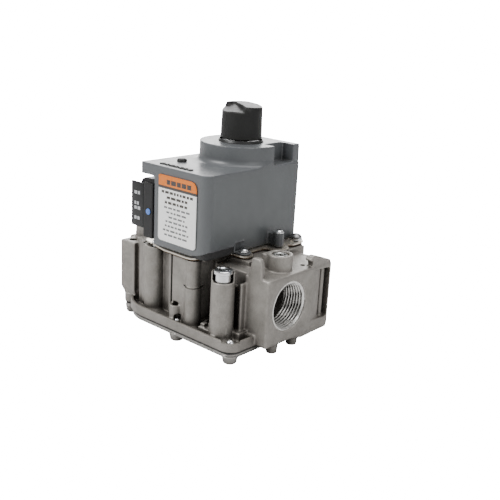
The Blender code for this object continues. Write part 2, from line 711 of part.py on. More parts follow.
def solenoid(name, at, seat_z, disc_r):
    """Coil, steel yoke and core tube of one solenoid; seat_z is the underside of its moving valve."""
    x, y = at
    coil_low, coil_high = COIL_Z
    profile = [
        (COIL_R, coil_high),
        (COIL_R, coil_high - 1.2),
        (COIL_R - 0.9, coil_high - 1.2),
        (COIL_R - 0.9, coil_low + 1.2),
        (COIL_R, coil_low + 1.2),
        (COIL_R, coil_low),
        (TUBE_R + GAP, coil_low),
        (TUBE_R + GAP, coil_high),
    ]
    piece(f"{name}_coil", COPPER, [turned(profile, (x, y, 0.0), sides=MID_SIDES)])
    tube = [
        (0.0, TUBE_TOP_Z),
        (TUBE_R, TUBE_TOP_Z),
        (TUBE_R, 51.2),
        (TUBE_R + 1.2, 51.2),
        (TUBE_R + 1.2, 49.8),
        (TUBE_BORE_R, 49.8),
        (TUBE_BORE_R, TUBE_CORE_Z),
        (0.0, TUBE_CORE_Z),
    ]
    piece(f"{name}_core_tube", STEEL, [turned(tube, (x, y, 0.0), sides=MID_SIDES)])
    yoke = [
        block((x - 6.0, x + 6.0), (y - 6.4, y + 9.4), (51.5, 52.6)),
        block((x - 6.0, x + 6.0), (y + 8.2, y + 9.4), (51.5, 78.4)),
        block((x - 6.0, x + 6.0), (y - 6.4, y + 9.4), (77.3, 78.4)),
    ]
    piece(f"{name}_yoke", STEEL, yoke, [cylinder(at, (50.0, 82.0), TUBE_R + GAP, sides=MID_SIDES)])
    plunger_low = 51.4
    plunger = cylinder(at, (plunger_low, PLUNGER_TOP_Z), PLUNGER_R, sides=MID_SIDES)
    piece(f"{name}_plunger", STEEL, [plunger], (), (x, y, 0.0))
    disc = cylinder(at, (seat_z, seat_z + 1.5), disc_r, sides=MID_SIDES)
    stem = cylinder(at, (seat_z + 1.0, plunger_low - GAP), min(1.8, disc_r - 0.4), sides=SMALL_SIDES)
    piece(f"{name}_disc", RUBBER, [disc, stem], (), (x, y, 0.0))
    spring = coil_spring(at, 2.2, 0.3, (PLUNGER_TOP_Z + GAP, TUBE_CORE_Z - GAP), 4)
    piece(f"{name}_spring", SPRING, [spring])


def main_valve():
    """Disc with its stem, the plate on the diaphragm, and the closing spring."""
    at = (MAIN_X, MAIN_Y)
    axis = (MAIN_X, MAIN_Y, 0.0)
    disc = cylinder(at, (MAIN_SEAT_Z + GAP, 42.0), 7.6, sides=MID_SIDES)
    stem = cylinder(at, (8.4, 40.0), 1.6, sides=SMALL_SIDES)
    piece("main_valve_disc", RUBBER, [disc, stem], (), axis)
    plate = cylinder(at, (6.8, 8.0), 14.0, sides=MID_SIDES)
    piece("diaphragm_plate", STEEL, [plate], (), axis)
    piece("main_valve_spring", SPRING, [coil_spring(at, 5.0, 0.4, (42.3, 48.2), 3, 10)])


# ---- Regulator, taps and pilot ------------------------------------------------------------------------


def regulator():
    at = (REGULATOR_X, REGULATOR_Y)
    axis = (REGULATOR_X, REGULATOR_Y, 0.0)
    top = REGULATOR_TOP_Z
    profile = [
        (0.0, top + 1.0),
        (4.7, top + 1.0),
        (5.1, top + 0.6),
        (5.1, top - 1.1),
        (4.4, top - 1.1),
        (4.4, 37.0),
        (0.0, 37.0),
    ]
    cap = turned(profile, (*at, 0.0))
    x, y = at
    slot = block((x - 6.5, x + 6.5), (y - 0.8, y + 0.8), (top - 0.3, top + 3.0))
    piece("regulator_cap", STEEL, [cap], [slot])
    screw = cylinder(at, (30.0, 34.0), 3.4, sides=MID_SIDES)
    driver = block((x - 4.0, x + 4.0), (y - 0.5, y + 0.5), (32.6, 35.0))
    piece("regulator_screw", BLACK, [screw], [driver], axis)
    seat = cylinder(at, (28.4, 29.7), 3.2, sides=SMALL_SIDES)
    piece("regulator_spring_seat", STEEL, [seat], (), axis)
    piece("regulator_spring", SPRING, [coil_spring(at, 2.5, 0.35, (20.0, 28.1), 5)])
    profile = [(0.0, 19.7), (3.4, 19.7), (3.4, 18.9), (1.2, 18.4), (1.2, 17.3), (0.0, 17.3)]
    piece("regulator_poppet", RUBBER, [turned(profile, (*at, 0.0), sides=SMALL_SIDES)])


def taps():
    """Socket plugs in the pressure taps over the two ports."""
    for name, side in (("outlet_tap_plug", 1), ("inlet_tap_plug", -1)):
        at = (side * TAP_X, TAP_Y)
        plug = cylinder(at, (TAP_TOP_Z - 7.0, TAP_TOP_Z - 0.4), 4.2, 4.3, sides=MID_SIDES)
        socket = cylinder(at, (TAP_TOP_Z - 4.0, TAP_TOP_Z + 1.0), 2.7, sides=6)
        piece(name, STEEL, [plug], [socket])


def pilot():
    """Compression fitting of the pilot tube and the needle screw beside it, on the rear wall."""
    rear = BODY_REAR_Y
    body = cylinder((PILOT_X, PILOT_Z), (rear - 7.0, rear + 3.4), 3.9, axis="Y", sides=MID_SIDES)
    nut = cylinder((PILOT_X, PILOT_Z), (rear + 1.9, rear + 3.4), 6.2, axis="Y", sides=6)
    bore = cylinder((PILOT_X, PILOT_Z), (rear - 8.0, rear + 5.0), 2.6, axis="Y", sides=SMALL_SIDES)
    piece("pilot_fitting", BRASS, [body, nut], [bore])
    needle = cylinder((2.0, PILOT_Z), (rear - 4.6, rear + 1.4), 2.0, axis="Y", sides=SMALL_SIDES)
    slot = block((-1.0, 5.0), (rear + 0.6, rear + 2.0), (PILOT_Z - 0.4, PILOT_Z + 0.4))
    piece("pilot_screw", BRASS, [needle], [slot], (2.0, rear, PILOT_Z))


# ---- Cover --------------------------------------------------------------------------------------------


def cover():
    """Painted shell: tall box with an overhanging shelf, a drum under the knob and a notched raised back."""
    base = COVER_BOTTOM_Z
    knob = (KNOB_X, KNOB_Y)
    wall = COVER_WALL
    lower = rounded(
        [
            (COVER_FACE_LEFT_X, COVER_FRONT_Y, 1.0),
            (COVER_RIGHT_X, COVER_FRONT_Y, 5.0),
            (COVER_RIGHT_X, COVER_REAR_Y, 1.0),
            (COVER_LEFT_X, COVER_REAR_Y, 4.0),
            (COVER_LEFT_X, -4.0, 1.0),
            (COVER_FACE_LEFT_X, -4.0, 0.0),
        ],
        steps=4,
    )
    shelf = rounded(
        [
            (COVER_LEFT_X, COVER_FRONT_Y, 1.0),
            (COVER_RIGHT_X, COVER_FRONT_Y, 5.0),
            (COVER_RIGHT_X, COVER_REAR_Y, 1.0),
            (COVER_LEFT_X, COVER_REAR_Y, 4.0),
        ],
        steps=4,
    )
    raised = rounded(
        [
            (KNOB_X - DRUM_R, KNOB_Y, 0.5),
            (21.4, KNOB_Y, 0.5),
            (21.4, COVER_REAR_Y - 0.2, 1.0),
            (KNOB_X - DRUM_R, COVER_REAR_Y - 0.2, 4.0),
        ],
        steps=4,
    )
    # The right side's lower edge stands above the plate from the front corner to the front screw.
    rise = [(9.8, base - 1.0), (9.8, base), (13.0, 50.7), (16.0, 51.3), (19.4, 52.6), (21.0, 53.6)]
    rise += [(30.0, 53.6), (30.0, base - 1.0)]
    screw_x, screw_y, foot_top = COVER_SCREWS["cover_screw_front"]
    shell = combine(
        [prism(lower, (base, OVERHANG_Z + 1.0))],
        [upright(rise, (-40.0, screw_y - 4.2))],
        "cover_shell",
    )
    adds = [
        shell,
        prism(shelf, (OVERHANG_Z, SHELF_Z)),
        cylinder(knob, (OVERHANG_Z + 1.0, DRUM_TOP_Z), DRUM_R, sides=48),
        prism(raised, (OVERHANG_Z + 2.0, DRUM_TOP_Z - 0.4)),
        cylinder((screw_x, screw_y), (base, foot_top), 3.8, sides=MID_SIDES),
        block((20.0, screw_x), (screw_y - 3.7, screw_y + 3.7), (base, foot_top)),
        cylinder((28.0, 17.0), (base, 57.6), 3.6, sides=MID_SIDES),
        block((20.0, 28.0), (14.2, 19.8), (base, 56.4)),
    ]
    drum_cavity = combine(
        [cylinder(knob, (SHELF_Z - 3.0, DRUM_TOP_Z - wall), DRUM_R - wall)],
        [block((11.0, 30.0), (15.0, 50.0), (80.0, 120.0))],
        "drum_cavity",
    )
    cuts = [
        block((13.2, 30.0), (17.0, 33.6), (NOTCH_FLOOR_Z, 120.0)),
        block(
            (COVER_FACE_LEFT_X + wall, COVER_RIGHT_X - wall),
            (COVER_FRONT_Y + wall, COVER_REAR_Y - wall),
            (base - 1.0, SHELF_Z - wall),
        ),
        block((COVER_LEFT_X + wall, 0.0), (-4.0 + wall, COVER_REAR_Y - wall), (base - 1.0, SHELF_Z - wall)),
        drum_cavity,
        block((KNOB_X - DRUM_R + wall, 11.0), (KNOB_Y, 36.0), (SHELF_Z - 3.0, DRUM_TOP_Z - wall - 0.4)),
        cylinder(knob, (100.0, 110.0), 4.0, sides=MID_SIDES),
        *[cylinder((x, y), (48.0, 60.0), 1.9, sides=SMALL_SIDES) for x, y, _ in COVER_SCREWS.values()],
    ]
    for height in BLADE_HEIGHTS:
        cuts.append(cylinder((LEAD_X, height), (-5.0, -1.0), 1.3, axis="Y", sides=SMALL_SIDES))
    piece("cover", PAINT, adds, cuts)
    top = SHELF_Z + 1.8
    profile = [(0.0, top), (2.2, top), (2.75, top - 0.5), (2.75, SHELF_Z + GAP), (0.0, SHELF_Z + GAP)]
    piece("cover_button", BLACK, [turned(profile, (-16.1, -16.9, 0.0), sides=MID_SIDES)])


def cover_screws():
    for name, (x, y, z) in COVER_SCREWS.items():
        seat = z + GAP
        profile = [(0.0, seat + 1.6), (1.9, seat + 1.5), (2.9, seat), (1.4, seat), (1.4, 39.4), (0.0, 39.0)]
        slot = block((x - 4.0, x + 4.0), (y - 0.4, y + 0.4), (seat + 0.8, seat + 3.0))
        piece(name, STEEL, [turned(profile, (x, y, 0.0), sides=SMALL_SIDES)], [slot])
    seat = PLATE_Z[1] + GAP
    profile = [(0.0, seat + 1.4), (0.9, seat + 1.2), (1.5, seat), (1.1, seat), (1.1, 41.0), (0.0, 40.6)]
    piece("plate_screw", STEEL, [turned(profile, (*PLATE_SCREW, 0.0), sides=SMALL_SIDES)])
    washer = [(3.8, 50.9), (3.8, 50.1), (1.9, 50.1), (1.9, 50.9)]
    piece("ground_washer", STEEL, [turned(washer, (*GROUND_SCREW, 0.0), sides=MID_SIDES)])
    profile = [(0.0, 53.4), (2.4, 53.2), (3.4, 52.2), (3.4, 51.2), (1.15, 51.2), (1.15, 40.0), (0.0, 39.6)]
    piece("ground_screw", STEEL, [turned(profile, (*GROUND_SCREW, 0.0), sides=SMALL_SIDES)])


def label():
    """Two-part label on the front face: a plain coloured header over a white panel."""
    left, right = LABEL_X
    low, high = LABEL_Z
    panel_top = LABEL_DIVIDER_Z - 0.2
    header_low = LABEL_DIVIDER_Z + 0.2
    panel = [(left, low, 2.0), (right, low, 2.0), (right, panel_top, 0.0), (left, panel_top, 0.0)]
    header = [(left, header_low, 0.0), (right, header_low, 0.0), (right, high, 4.0), (left, high, 1.0)]
    y = (COVER_FRONT_Y - GAP - LABEL_THICKNESS, COVER_FRONT_Y - GAP)
    for name, look, outline in (("label_panel", WHITE, panel), ("label_header", ORANGE, header)):
        piece(name, look, [upright(rounded(outline, steps=3), y)])


# ---- Terminals and wiring -----------------------------------------------------------------------------


def terminal_block():
    """Housing beside the label face, its label plate and three push-on blades."""
    column = bevelled(block((-26.3, -18.9), (-35.6, -12.0), (52.6, 83.6)), 0.6)
    hump = bevelled(block((-31.4, -18.9), (-33.0, -14.0), (80.2, 85.4)), 1.6)
    cuts = [block((-18.9, -10.0), (-40.0, -8.0), (50.0, 88.0))]
    for z in BLADE_HEIGHTS:
        cuts.append(cylinder((LEAD_X, z), (-13.0, -9.0), 1.0, axis="Y", sides=SMALL_SIDES))
        cuts.append(block((-28.0, -23.4), (-29.4, -22.0), (z - 0.9, z + 0.9)))
    piece("terminal_block", BLACK, [column, hump], cuts)
    wing = bevelled(block((-36.8, -26.6), (-35.4, -34.2), (57.3, 82.7)), 0.25)
    piece("terminal_wing", BLACK, [wing])
    for number, z in enumerate(BLADE_HEIGHTS, 1):
        blade = block((-34.6, -23.8), (-28.9, -22.55), (z - 0.4, z + 0.4))
        hole = cylinder((-32.0, -25.7), (z - 2.0, z + 2.0), 0.9, sides=SMALL_SIDES)
        piece(f"terminal_blade_{number}", STEEL, [blade], [hole])
    dot = cylinder((-21.8, 67.7), (-36.4, -35.9), 2.0, axis="Y", sides=MID_SIDES)
    piece("blue_marker", BLUE, [dot])


def lead_wires():
    """Leads from the terminal block, through the cover's rear step, to the coils."""
    ends = [
        ("lead_wire_common", BLADE_HEIGHTS[1], (FIRST_X, FIRST_Y + 10.6, 66.0)),
        ("lead_wire_first", BLADE_HEIGHTS[2], (FIRST_X + 3.0, FIRST_Y + 10.6, 74.0)),
        ("lead_wire_servo", BLADE_HEIGHTS[0], (SERVO_X, SERVO_Y + 10.6, 60.0)),
    ]
    for name, z, end in ends:
        start = Vector((LEAD_X, -1.0, z))
        target = Vector(end)
        route = [(LEAD_X, -11.4, z), (LEAD_X, -6.0, z), tuple(start)]
        for step in range(1, LEAD_STEPS):
            share = step / LEAD_STEPS
            bow = LEAD_BOW * math.sin(math.pi * share)
            route.append(tuple(start.lerp(target, share) + Vector((0.0, bow, 0.0))))
        route.append(tuple(target))
        piece(name, RUBBER, [sweep(route, 0.6)])


main_body()
inlet_screen()
bottom_cover()
top_plates()
manual_valve()
solenoid("first_valve", (FIRST_X, FIRST_Y), 36.0 + GAP, 4.2)
solenoid("servo_valve", (SERVO_X, SERVO_Y), 49.8, 2.6)
main_valve()
regulator()
taps()
pilot()
cover()
cover_screws()
label()
terminal_block()
lead_wires()
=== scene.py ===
"""Looks of the combination gas valve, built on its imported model.

Lengths in this file are millimetres in the model's frame, and become metres where a mesh is made. X runs
from the inlet to the outlet, -Y is the label side and +Z is up.
"""

import json
import math
import random

import bmesh
import bpy
from mathutils import Matrix, Vector


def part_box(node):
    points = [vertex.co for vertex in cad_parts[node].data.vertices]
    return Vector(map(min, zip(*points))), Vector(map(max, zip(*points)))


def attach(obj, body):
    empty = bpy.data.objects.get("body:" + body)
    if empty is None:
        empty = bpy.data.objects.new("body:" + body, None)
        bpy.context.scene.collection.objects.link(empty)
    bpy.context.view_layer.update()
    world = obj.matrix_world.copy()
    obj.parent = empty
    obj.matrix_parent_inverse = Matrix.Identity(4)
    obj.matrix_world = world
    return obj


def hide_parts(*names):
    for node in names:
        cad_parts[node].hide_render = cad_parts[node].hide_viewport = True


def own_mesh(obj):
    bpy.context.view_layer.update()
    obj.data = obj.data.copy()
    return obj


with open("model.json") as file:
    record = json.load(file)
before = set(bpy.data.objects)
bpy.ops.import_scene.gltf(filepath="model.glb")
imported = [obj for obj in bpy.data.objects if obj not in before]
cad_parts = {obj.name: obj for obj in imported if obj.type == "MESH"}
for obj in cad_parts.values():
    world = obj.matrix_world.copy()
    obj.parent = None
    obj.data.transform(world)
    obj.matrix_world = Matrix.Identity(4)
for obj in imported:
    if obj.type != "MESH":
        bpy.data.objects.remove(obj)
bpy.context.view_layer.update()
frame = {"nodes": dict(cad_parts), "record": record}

NODES = frame["nodes"]
MM = 0.001
SAME_POINT = 2e-6


def low_of(node):
    """A node's lowest corner, in millimetres."""
    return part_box(node)[0] / MM


def high_of(node):
    """A node's highest corner, in millimetres."""
    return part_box(node)[1] / MM


def middle_of(node):
    """The middle of a node's box, in millimetres."""
    return (low_of(node) + high_of(node)) / 2


# ---- Mesh helpers -------------------------------------------------------------------------------------


def along(axis, a, b, height):
    """The point with the two coordinates across the axis and its height along it."""
    return {"X": (height, a, b), "Y": (a, height, b), "Z": (a, b, height)}[axis]


def placed(bm):
    """An object with the finished mesh, linked to the scene."""
    mesh = bpy.data.meshes.new("shape")
    bm.to_mesh(mesh)
    bm.free()
    item = bpy.data.objects.new("shape", mesh)
    bpy.context.scene.collection.objects.link(item)
    return item


def made(bm):
    """An object in metres from a mesh built in millimetres."""
    bmesh.ops.scale(bm, vec=(MM, MM, MM), verts=bm.verts)
    bmesh.ops.recalc_face_normals(bm, faces=bm.faces)
    return placed(bm)


def skinned(rings, closed=False):
    """Faces between rings of points; a ring of one point is a tip, and open ends are capped."""
    bm = bmesh.new()
    loops = [[bm.verts.new(point) for point in ring] for ring in rings]
    pairs = list(zip(loops, loops[1:]))
    if closed:
        pairs.append((loops[-1], loops[0]))
    for first, second in pairs:
        count = max(len(first), len(second))
        for index in range(count):
            after = (index + 1) % count
            corners = [first[index % len(first)], first[after % len(first)]]
            corners += [second[after % len(second)], second[index % len(second)]]
            bm.faces.new(list(dict.fromkeys(corners)))
    if not closed:
        for loop in (loops[0], loops[-1]):
            if len(loop) > 2:
                bm.faces.new(loop)
    return made(bm)


def extrude(points, span, axis="Z"):
    """A flat outline given a thickness along an axis."""
    return skinned([[along(axis, a, b, height) for a, b in points] for height in span])


def ring_points(at, radius, height, axis="Z", sides=64, phase=0.0):
    """A circle of points round an axis, or a single point where the radius is zero."""
    if radius == 0.0:
        return [along(axis, at[0], at[1], height)]
    turn = [phase + 2 * math.pi * index / sides for index in range(sides)]
    return [along(axis, at[0] + radius * math.cos(a), at[1] + radius * math.sin(a), height) for a in turn]


def lathe(profile, at, axis="Z", sides=64):
    """A (radius, height) profile turned about an axis; one that stays off the axis makes a tube."""
    rings = [ring_points(at, radius, height, axis, sides) for radius, height in profile]
    return skinned(rings, closed=profile[0][0] > 0.0 and profile[-1][0] > 0.0)


def rod(at, span, radius, end_radius=None, axis="Z", sides=64, phase=0.0):
    """A cylinder, or a cone when its end has another radius."""
    ends = (radius, radius if end_radius is None else end_radius)
    return skinned([ring_points(at, r, h, axis, sides, phase) for r, h in zip(ends, span)])


def block(x, y, z):
    """A box between two values on each axis."""
    return extrude([(x[0], y[0]), (x[1], y[0]), (x[1], y[1]), (x[0], y[1])], z)


def soft_block(x, y, z, edge):
    """A box with rounded edges."""
    item = block(x, y, z)
    bm = bmesh.new()
    bm.from_mesh(item.data)
    bmesh.ops.bevel(bm, geom=bm.edges[:], offset=edge * MM, segments=3, profile=0.5, affect="EDGES")
    bm.to_mesh(item.data)
    bm.free()
    return item


def rounded(corners, inset=0.0, steps=12):
    """Outline points from (x, y, radius) corners given anticlockwise, moved in by the inset."""
    points = []
    count = len(corners)
    for index, (x, y, radius) in enumerate(corners):
        here = Vector((x, y))
        before = (Vector(corners[index - 1][:2]) - here).normalized()
        after = (Vector(corners[(index + 1) % count][:2]) - here).normalized()
        bisector = (before + after).normalized()
        half_angle = before.angle(after) / 2
        convex = before.cross(after) < 0
        inward = inset if convex else -inset
        inner = here + bisector * (inward / math.sin(half_angle))
        size = max(radius - inward, 0.0)
        if size < 0.05:
            points.append(tuple(inner))
            continue
        reach = size / math.tan(half_angle)
        centre = inner + bisector * (size / math.sin(half_angle))
        first = inner + before * reach - centre
        sweep = first.angle_signed(inner + after * reach - centre)
        for step in range(steps + 1):
            arm = first.copy()
            arm.rotate(Matrix.Rotation(-sweep * step / steps, 2))
            points.append(tuple(centre + arm))
    return points


def settled(item):
    """The object with its modifiers applied."""
    bpy.context.view_layer.update()
    graph = bpy.context.evaluated_depsgraph_get()
    mesh = bpy.data.meshes.new_from_object(item.evaluated_get(graph))
    item.modifiers.clear()
    item.data = mesh
    return item


def dropped(items):
    """Remove objects whose meshes have been taken over by another."""
    for item in items:
        bpy.data.objects.remove(item)


def fused(items):
    """One object with the meshes of all of them."""
    bm = bmesh.new()
    for item in items:
        bm.from_mesh(item.data)
    dropped(items)
    return placed(bm)


def combined(item, others, operation="DIFFERENCE", solver="EXACT"):
    """A Boolean of the item with each of the others, which are removed."""
    for other in others:
        modifier = item.modifiers.new(operation.lower(), "BOOLEAN")
        modifier.operation = operation
        modifier.solver = solver
        modifier.object = other
    settled(item)
    dropped(others)
    return item


def remeshed(item, voxel, smooth=4, ratio=0.3):
    """A cast or moulded skin over closed shapes: edges come out slightly round."""
    remesh = item.modifiers.new("skin", "REMESH")
    remesh.mode = "VOXEL"
    remesh.voxel_size = voxel * MM
    soften = item.modifiers.new("soften", "SMOOTH")
    soften.factor = 0.5
    soften.iterations = smooth
    thin = item.modifiers.new("thin", "DECIMATE")
    thin.ratio = ratio
    return settled(item)


def copy_of(node):
    """A closed copy of a model node's mesh."""
    bm = bmesh.new()
    bm.from_mesh(NODES[node].data)
    bmesh.ops.remove_doubles(bm, verts=bm.verts, dist=SAME_POINT)
    return placed(bm)


def piece(name, item, look, body="valve_body", replaced=(), sharp=35.0):
    """Names a finished shape, gives it its material and fixes it to a body of the model."""
    item.name = name
    item.data.name = name
    item.data.materials.clear()
    item.data.materials.append(look)
    item.data.shade_smooth()
    item.data.set_sharp_from_angle(angle=math.radians(sharp))
    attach(item, body)
    if replaced:
        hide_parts(*replaced)
    return item


# ---- Materials ----------------------------------------------------------------------------------------


class Look:
    """A node material on one Principled shader, with short calls for the nodes that it needs."""

    def __init__(self, name, metallic=0.0, coat=0.0, coat_roughness=0.1):
        """A new material with the values that stay the same all over it."""
        self.material = bpy.data.materials.new(name)
        self.material.use_nodes = True
        self.tree = self.material.node_tree
        self.shader = self.tree.nodes["Principled BSDF"]
        self.shader.inputs["Metallic"].default_value = metallic
        self.shader.inputs["Coat Weight"].default_value = coat
        self.shader.inputs["Coat Roughness"].default_value = coat_roughness
        self.place = self.tree.nodes.new("ShaderNodeTexCoord").outputs["Object"]

    def link(self, source, target):
        """Join one node's output to another's input."""
        self.tree.links.new(source, target)

    def noise(self, size, detail=3.0, roughness=0.55):
        """Noise with features about this many millimetres across."""
        node = self.tree.nodes.new("ShaderNodeTexNoise")
        node.inputs["Scale"].default_value = 1.0 / (size * MM)
        node.inputs["Detail"].default_value = detail
        node.inputs["Roughness"].default_value = roughness
        self.link(self.place, node.inputs["Vector"])
        return node.outputs["Fac"]

    def ramp(self, source, stops):
        """Colours or greys at given values of the source."""
        node = self.tree.nodes.new("ShaderNodeValToRGB")
        elements = node.color_ramp.elements
        while len(elements) < len(stops):
            elements.new(0.5)
        for element, (position, colour) in zip(elements, stops):
            element.position = position
            colour = (colour, colour, colour) if isinstance(colour, float) else colour
            element.color = (*colour, 1.0)
        self.link(source, node.inputs["Fac"])
        return node.outputs["Color"]

    def mix(self, factor, first, second, kind="MIX"):
        """Two colours mixed; each value is a number, a colour or another node's socket."""
        node = self.tree.nodes.new("ShaderNodeMix")
        node.data_type = "RGBA"
        node.blend_type = kind
        for value, socket in ((factor, node.inputs[0]), (first, node.inputs[6]), (second, node.inputs[7])):
            if isinstance(value, float):
                socket.default_value = value
            elif isinstance(value, tuple):
                socket.default_value = (*value, 1.0)
            else:
                self.link(value, socket)
        return node.outputs[2]

    def cavity(self, distance, samples=6):
        """1 in the open and towards 0 in tight recesses."""
        node = self.tree.nodes.new("ShaderNodeAmbientOcclusion")
        node.inputs["Distance"].default_value = distance * MM
        node.samples = samples
        return node.outputs["AO"]

    def shaded(self, base, recess_shade, near=9.0, far=38.0):
        """The base with painted shade: darkened in tight recesses and where little light gets in."""
        close_shade = self.ramp(self.cavity(near), [(0.12, recess_shade), (0.8, (1.0, 1.0, 1.0))])
        deep = self.ramp(self.cavity(far), [(0.04, (0.12, 0.11, 0.10)), (0.62, (1.0, 1.0, 1.0))])
        return self.mix(0.9, self.mix(0.95, base, close_shade, "MULTIPLY"), deep, "MULTIPLY")

    def edges(self):
        """Above 0.5 on outer edges and below it in inner corners."""
        return self.tree.nodes.new("ShaderNodeNewGeometry").outputs["Pointiness"]

    def colour(self, source):
        """Take the base colour from a socket."""
        self.link(source, self.shader.inputs["Base Color"])

    def roughness(self, source, low, high):
        """Roughness that wanders between two values."""
        self.link(self.ramp(source, [(0.25, low), (0.75, high)]), self.shader.inputs["Roughness"])

    def bump(self, source, strength, distance):
        """Relief this many millimetres deep, added to any that is there already."""
        node = self.tree.nodes.new("ShaderNodeBump")
        node.inputs["Strength"].default_value = strength
        node.inputs["Distance"].default_value = distance * MM
        self.link(source, node.inputs["Height"])
        normal = self.shader.inputs["Normal"]
        if normal.is_linked:
            self.link(normal.links[0].from_socket, node.inputs["Normal"])
        self.link(node.outputs["Normal"], normal)


def cast_look(name, dark, light, shine=0.0):
    """As-cast aluminium: sandy grain, soft blotches, painted shade in recesses and bright rubbed edges."""
    look = Look(name, metallic=0.62)
    blotch = look.ramp(look.noise(9.0, 5.0, 0.6), [(0.3, dark), (0.7, light)])
    grain = look.ramp(look.noise(0.5, 2.0, 0.7), [(0.3, 0.80), (0.7, 1.0)])
    speck = look.ramp(look.noise(1.6, 4.0, 0.8), [(0.30, 0.72), (0.40, 1.0)])
    base = look.mix(1.0, blotch, grain, "MULTIPLY")
    base = look.mix(0.7, base, speck, "MULTIPLY")
    rubbed = look.ramp(look.edges(), [(0.515, 0.0), (0.58, 0.7)])
    base = look.mix(rubbed, base, tuple(min(value * 1.18, 1.0) for value in light))
    # Painted shade: ambient occlusion darkens recesses towards a brownish grey.
    look.colour(look.shaded(base, (0.25, 0.225, 0.195)))
    look.roughness(look.noise(2.4, 4.0), 0.42 - shine, 0.60 - shine)
    look.bump(look.noise(0.7, 3.0, 0.7), 0.42, 0.12)
    look.bump(look.noise(6.0, 2.0), 0.25, 0.35)
    return look.material


def paint_look():
    """Satin grey paint with orange peel, faint handling marks, lighter rubbed edges with a painted
    highlight, and painted shade in recesses.
    """
    look = Look("satin_grey_paint", coat=0.25, coat_roughness=0.22)
    base = look.ramp(look.noise(26.0, 3.0), [(0.3, (0.086, 0.092, 0.097)), (0.7, (0.099, 0.105, 0.111))])
    # Lighter edges: rubbed wear, together with a painted highlight along the cover's edges.
    rubbed = look.ramp(look.edges(), [(0.515, 0.0), (0.58, 0.55)])
    base = look.mix(rubbed, base, (0.18, 0.19, 0.20))
    speck = look.ramp(look.noise(0.9, 3.0, 0.7), [(0.28, 0.82), (0.36, 1.0)])
    base = look.mix(0.6, base, speck, "MULTIPLY")
    # Painted shade: ambient occlusion darkens the paint towards grey in recesses and hemmed-in corners.
    look.colour(look.shaded(base, (0.42, 0.42, 0.42), 6.0, 30.0))
    look.roughness(look.noise(5.0, 4.0), 0.34, 0.47)
    look.bump(look.noise(1.1, 2.0), 0.10, 0.05)
    return look.material


def plastic_look(name, colour, low=0.32, high=0.46, grain=0.35):
    """Moulded plastic: fine spark texture, slight sheen changes and paler edges."""
    look = Look(name)
    look.shader.inputs["Specular IOR Level"].default_value = 0.28
    light = tuple(value * 1.5 + 0.006 for value in colour)
    base = look.ramp(look.noise(7.0, 4.0), [(0.3, colour), (0.75, tuple(value * 1.25 for value in colour))])
    rubbed = look.ramp(look.edges(), [(0.52, 0.0), (0.60, 0.8)])
    look.colour(look.mix(rubbed, base, light))
    look.roughness(look.noise(3.0, 4.0), low, high)
    look.bump(look.noise(grain, 2.0, 0.6), 0.16, 0.05)
    return look.material


def metal_look(name, dark, light, low=0.18, high=0.36, grain=0.8):
    """Bright turned or plated metal: drawn grain, dull patches and brighter edges."""
    look = Look(name, metallic=1.0)
    base = look.ramp(look.noise(3.5, 5.0, 0.65), [(0.3, dark), (0.68, light)])
    rubbed = look.ramp(look.edges(), [(0.52, 0.0), (0.62, 0.7)])
    look.colour(look.mix(rubbed, base, tuple(min(value * 1.25, 1.0) for value in light)))
    look.roughness(look.noise(1.8, 5.0, 0.6), low, high)
    look.bump(look.noise(grain, 3.0, 0.6), 0.10, 0.04)
    return look.material


def thread_look():
    """Freshly cut aluminium: bright crests, with painted shade in the thread roots and down the bore."""
    look = Look("cut_aluminium", metallic=0.9)
    base = look.ramp(look.noise(2.0, 4.0), [(0.3, (0.60, 0.585, 0.56)), (0.7, (0.80, 0.785, 0.76))])
    # Painted shade: ambient occlusion darkens the thread roots and the deep bore.
    root_shade = look.ramp(look.cavity(1.8, 8), [(0.35, (0.10, 0.095, 0.085)), (0.72, (1.0, 1.0, 1.0))])
    deep = look.ramp(look.cavity(30.0), [(0.02, (0.25, 0.24, 0.22)), (0.35, (1.0, 1.0, 1.0))])
    look.colour(look.mix(1.0, look.mix(1.0, base, root_shade, "MULTIPLY"), deep, "MULTIPLY"))
    look.roughness(look.noise(0.8, 4.0), 0.18, 0.34)
    look.bump(look.noise(0.3, 3.0), 0.12, 0.03)
    return look.material


def rubber_look():
    """Matt black rubber with a little dust."""
    look = Look("moulded_rubber")
    base = look.ramp(look.noise(5.0, 4.0), [(0.3, (0.016, 0.016, 0.017)), (0.75, (0.034, 0.033, 0.032))])
    dust = look.ramp(look.noise(1.4, 5.0, 0.75), [(0.60, 0.0), (0.74, 0.35)])
    look.colour(look.mix(dust, base, (0.11, 0.105, 0.10)))
    look.roughness(look.noise(2.0, 4.0), 0.62, 0.85)
    look.bump(look.noise(0.5, 2.0), 0.2, 0.06)
    return look.material


WAVES_PER_METRE = 1.0 / (0.28 * MM) / 20.0


def winding_look():
    """Enamelled wire wound round the coil: fine turns along its height."""
    look = Look("enamelled_winding", metallic=0.55)
    wave = look.tree.nodes.new("ShaderNodeTexWave")
    wave.bands_direction = "Z"
    wave.inputs["Scale"].default_value = WAVES_PER_METRE
    wave.inputs["Distortion"].default_value = 0.4
    look.link(look.place, wave.inputs["Vector"])
    turns = wave.outputs["Fac"]
    look.colour(look.ramp(turns, [(0.1, (0.20, 0.06, 0.02)), (0.8, (0.52, 0.20, 0.08))]))
    look.roughness(look.noise(2.0, 3.0), 0.28, 0.42)
    look.bump(turns, 0.5, 0.12)
    return look.material


def film_look(name, colour, dirt=0.86):
    """Printed label film: slight unevenness, faint scuffs and a soft gloss."""
    look = Look(name, coat=0.12, coat_roughness=0.3)
    shade = tuple(value * dirt for value in colour)
    base = look.ramp(look.noise(8.0, 4.0), [(0.28, shade), (0.62, colour)])
    fibre = look.ramp(look.noise(0.6, 3.0, 0.7), [(0.3, 0.90), (0.6, 1.0)])
    look.colour(look.mix(0.7, base, fibre, "MULTIPLY"))
    look.roughness(look.noise(2.5, 3.0), 0.38, 0.52)
    look.bump(look.noise(2.2, 2.0), 0.08, 0.05)
    return look.material


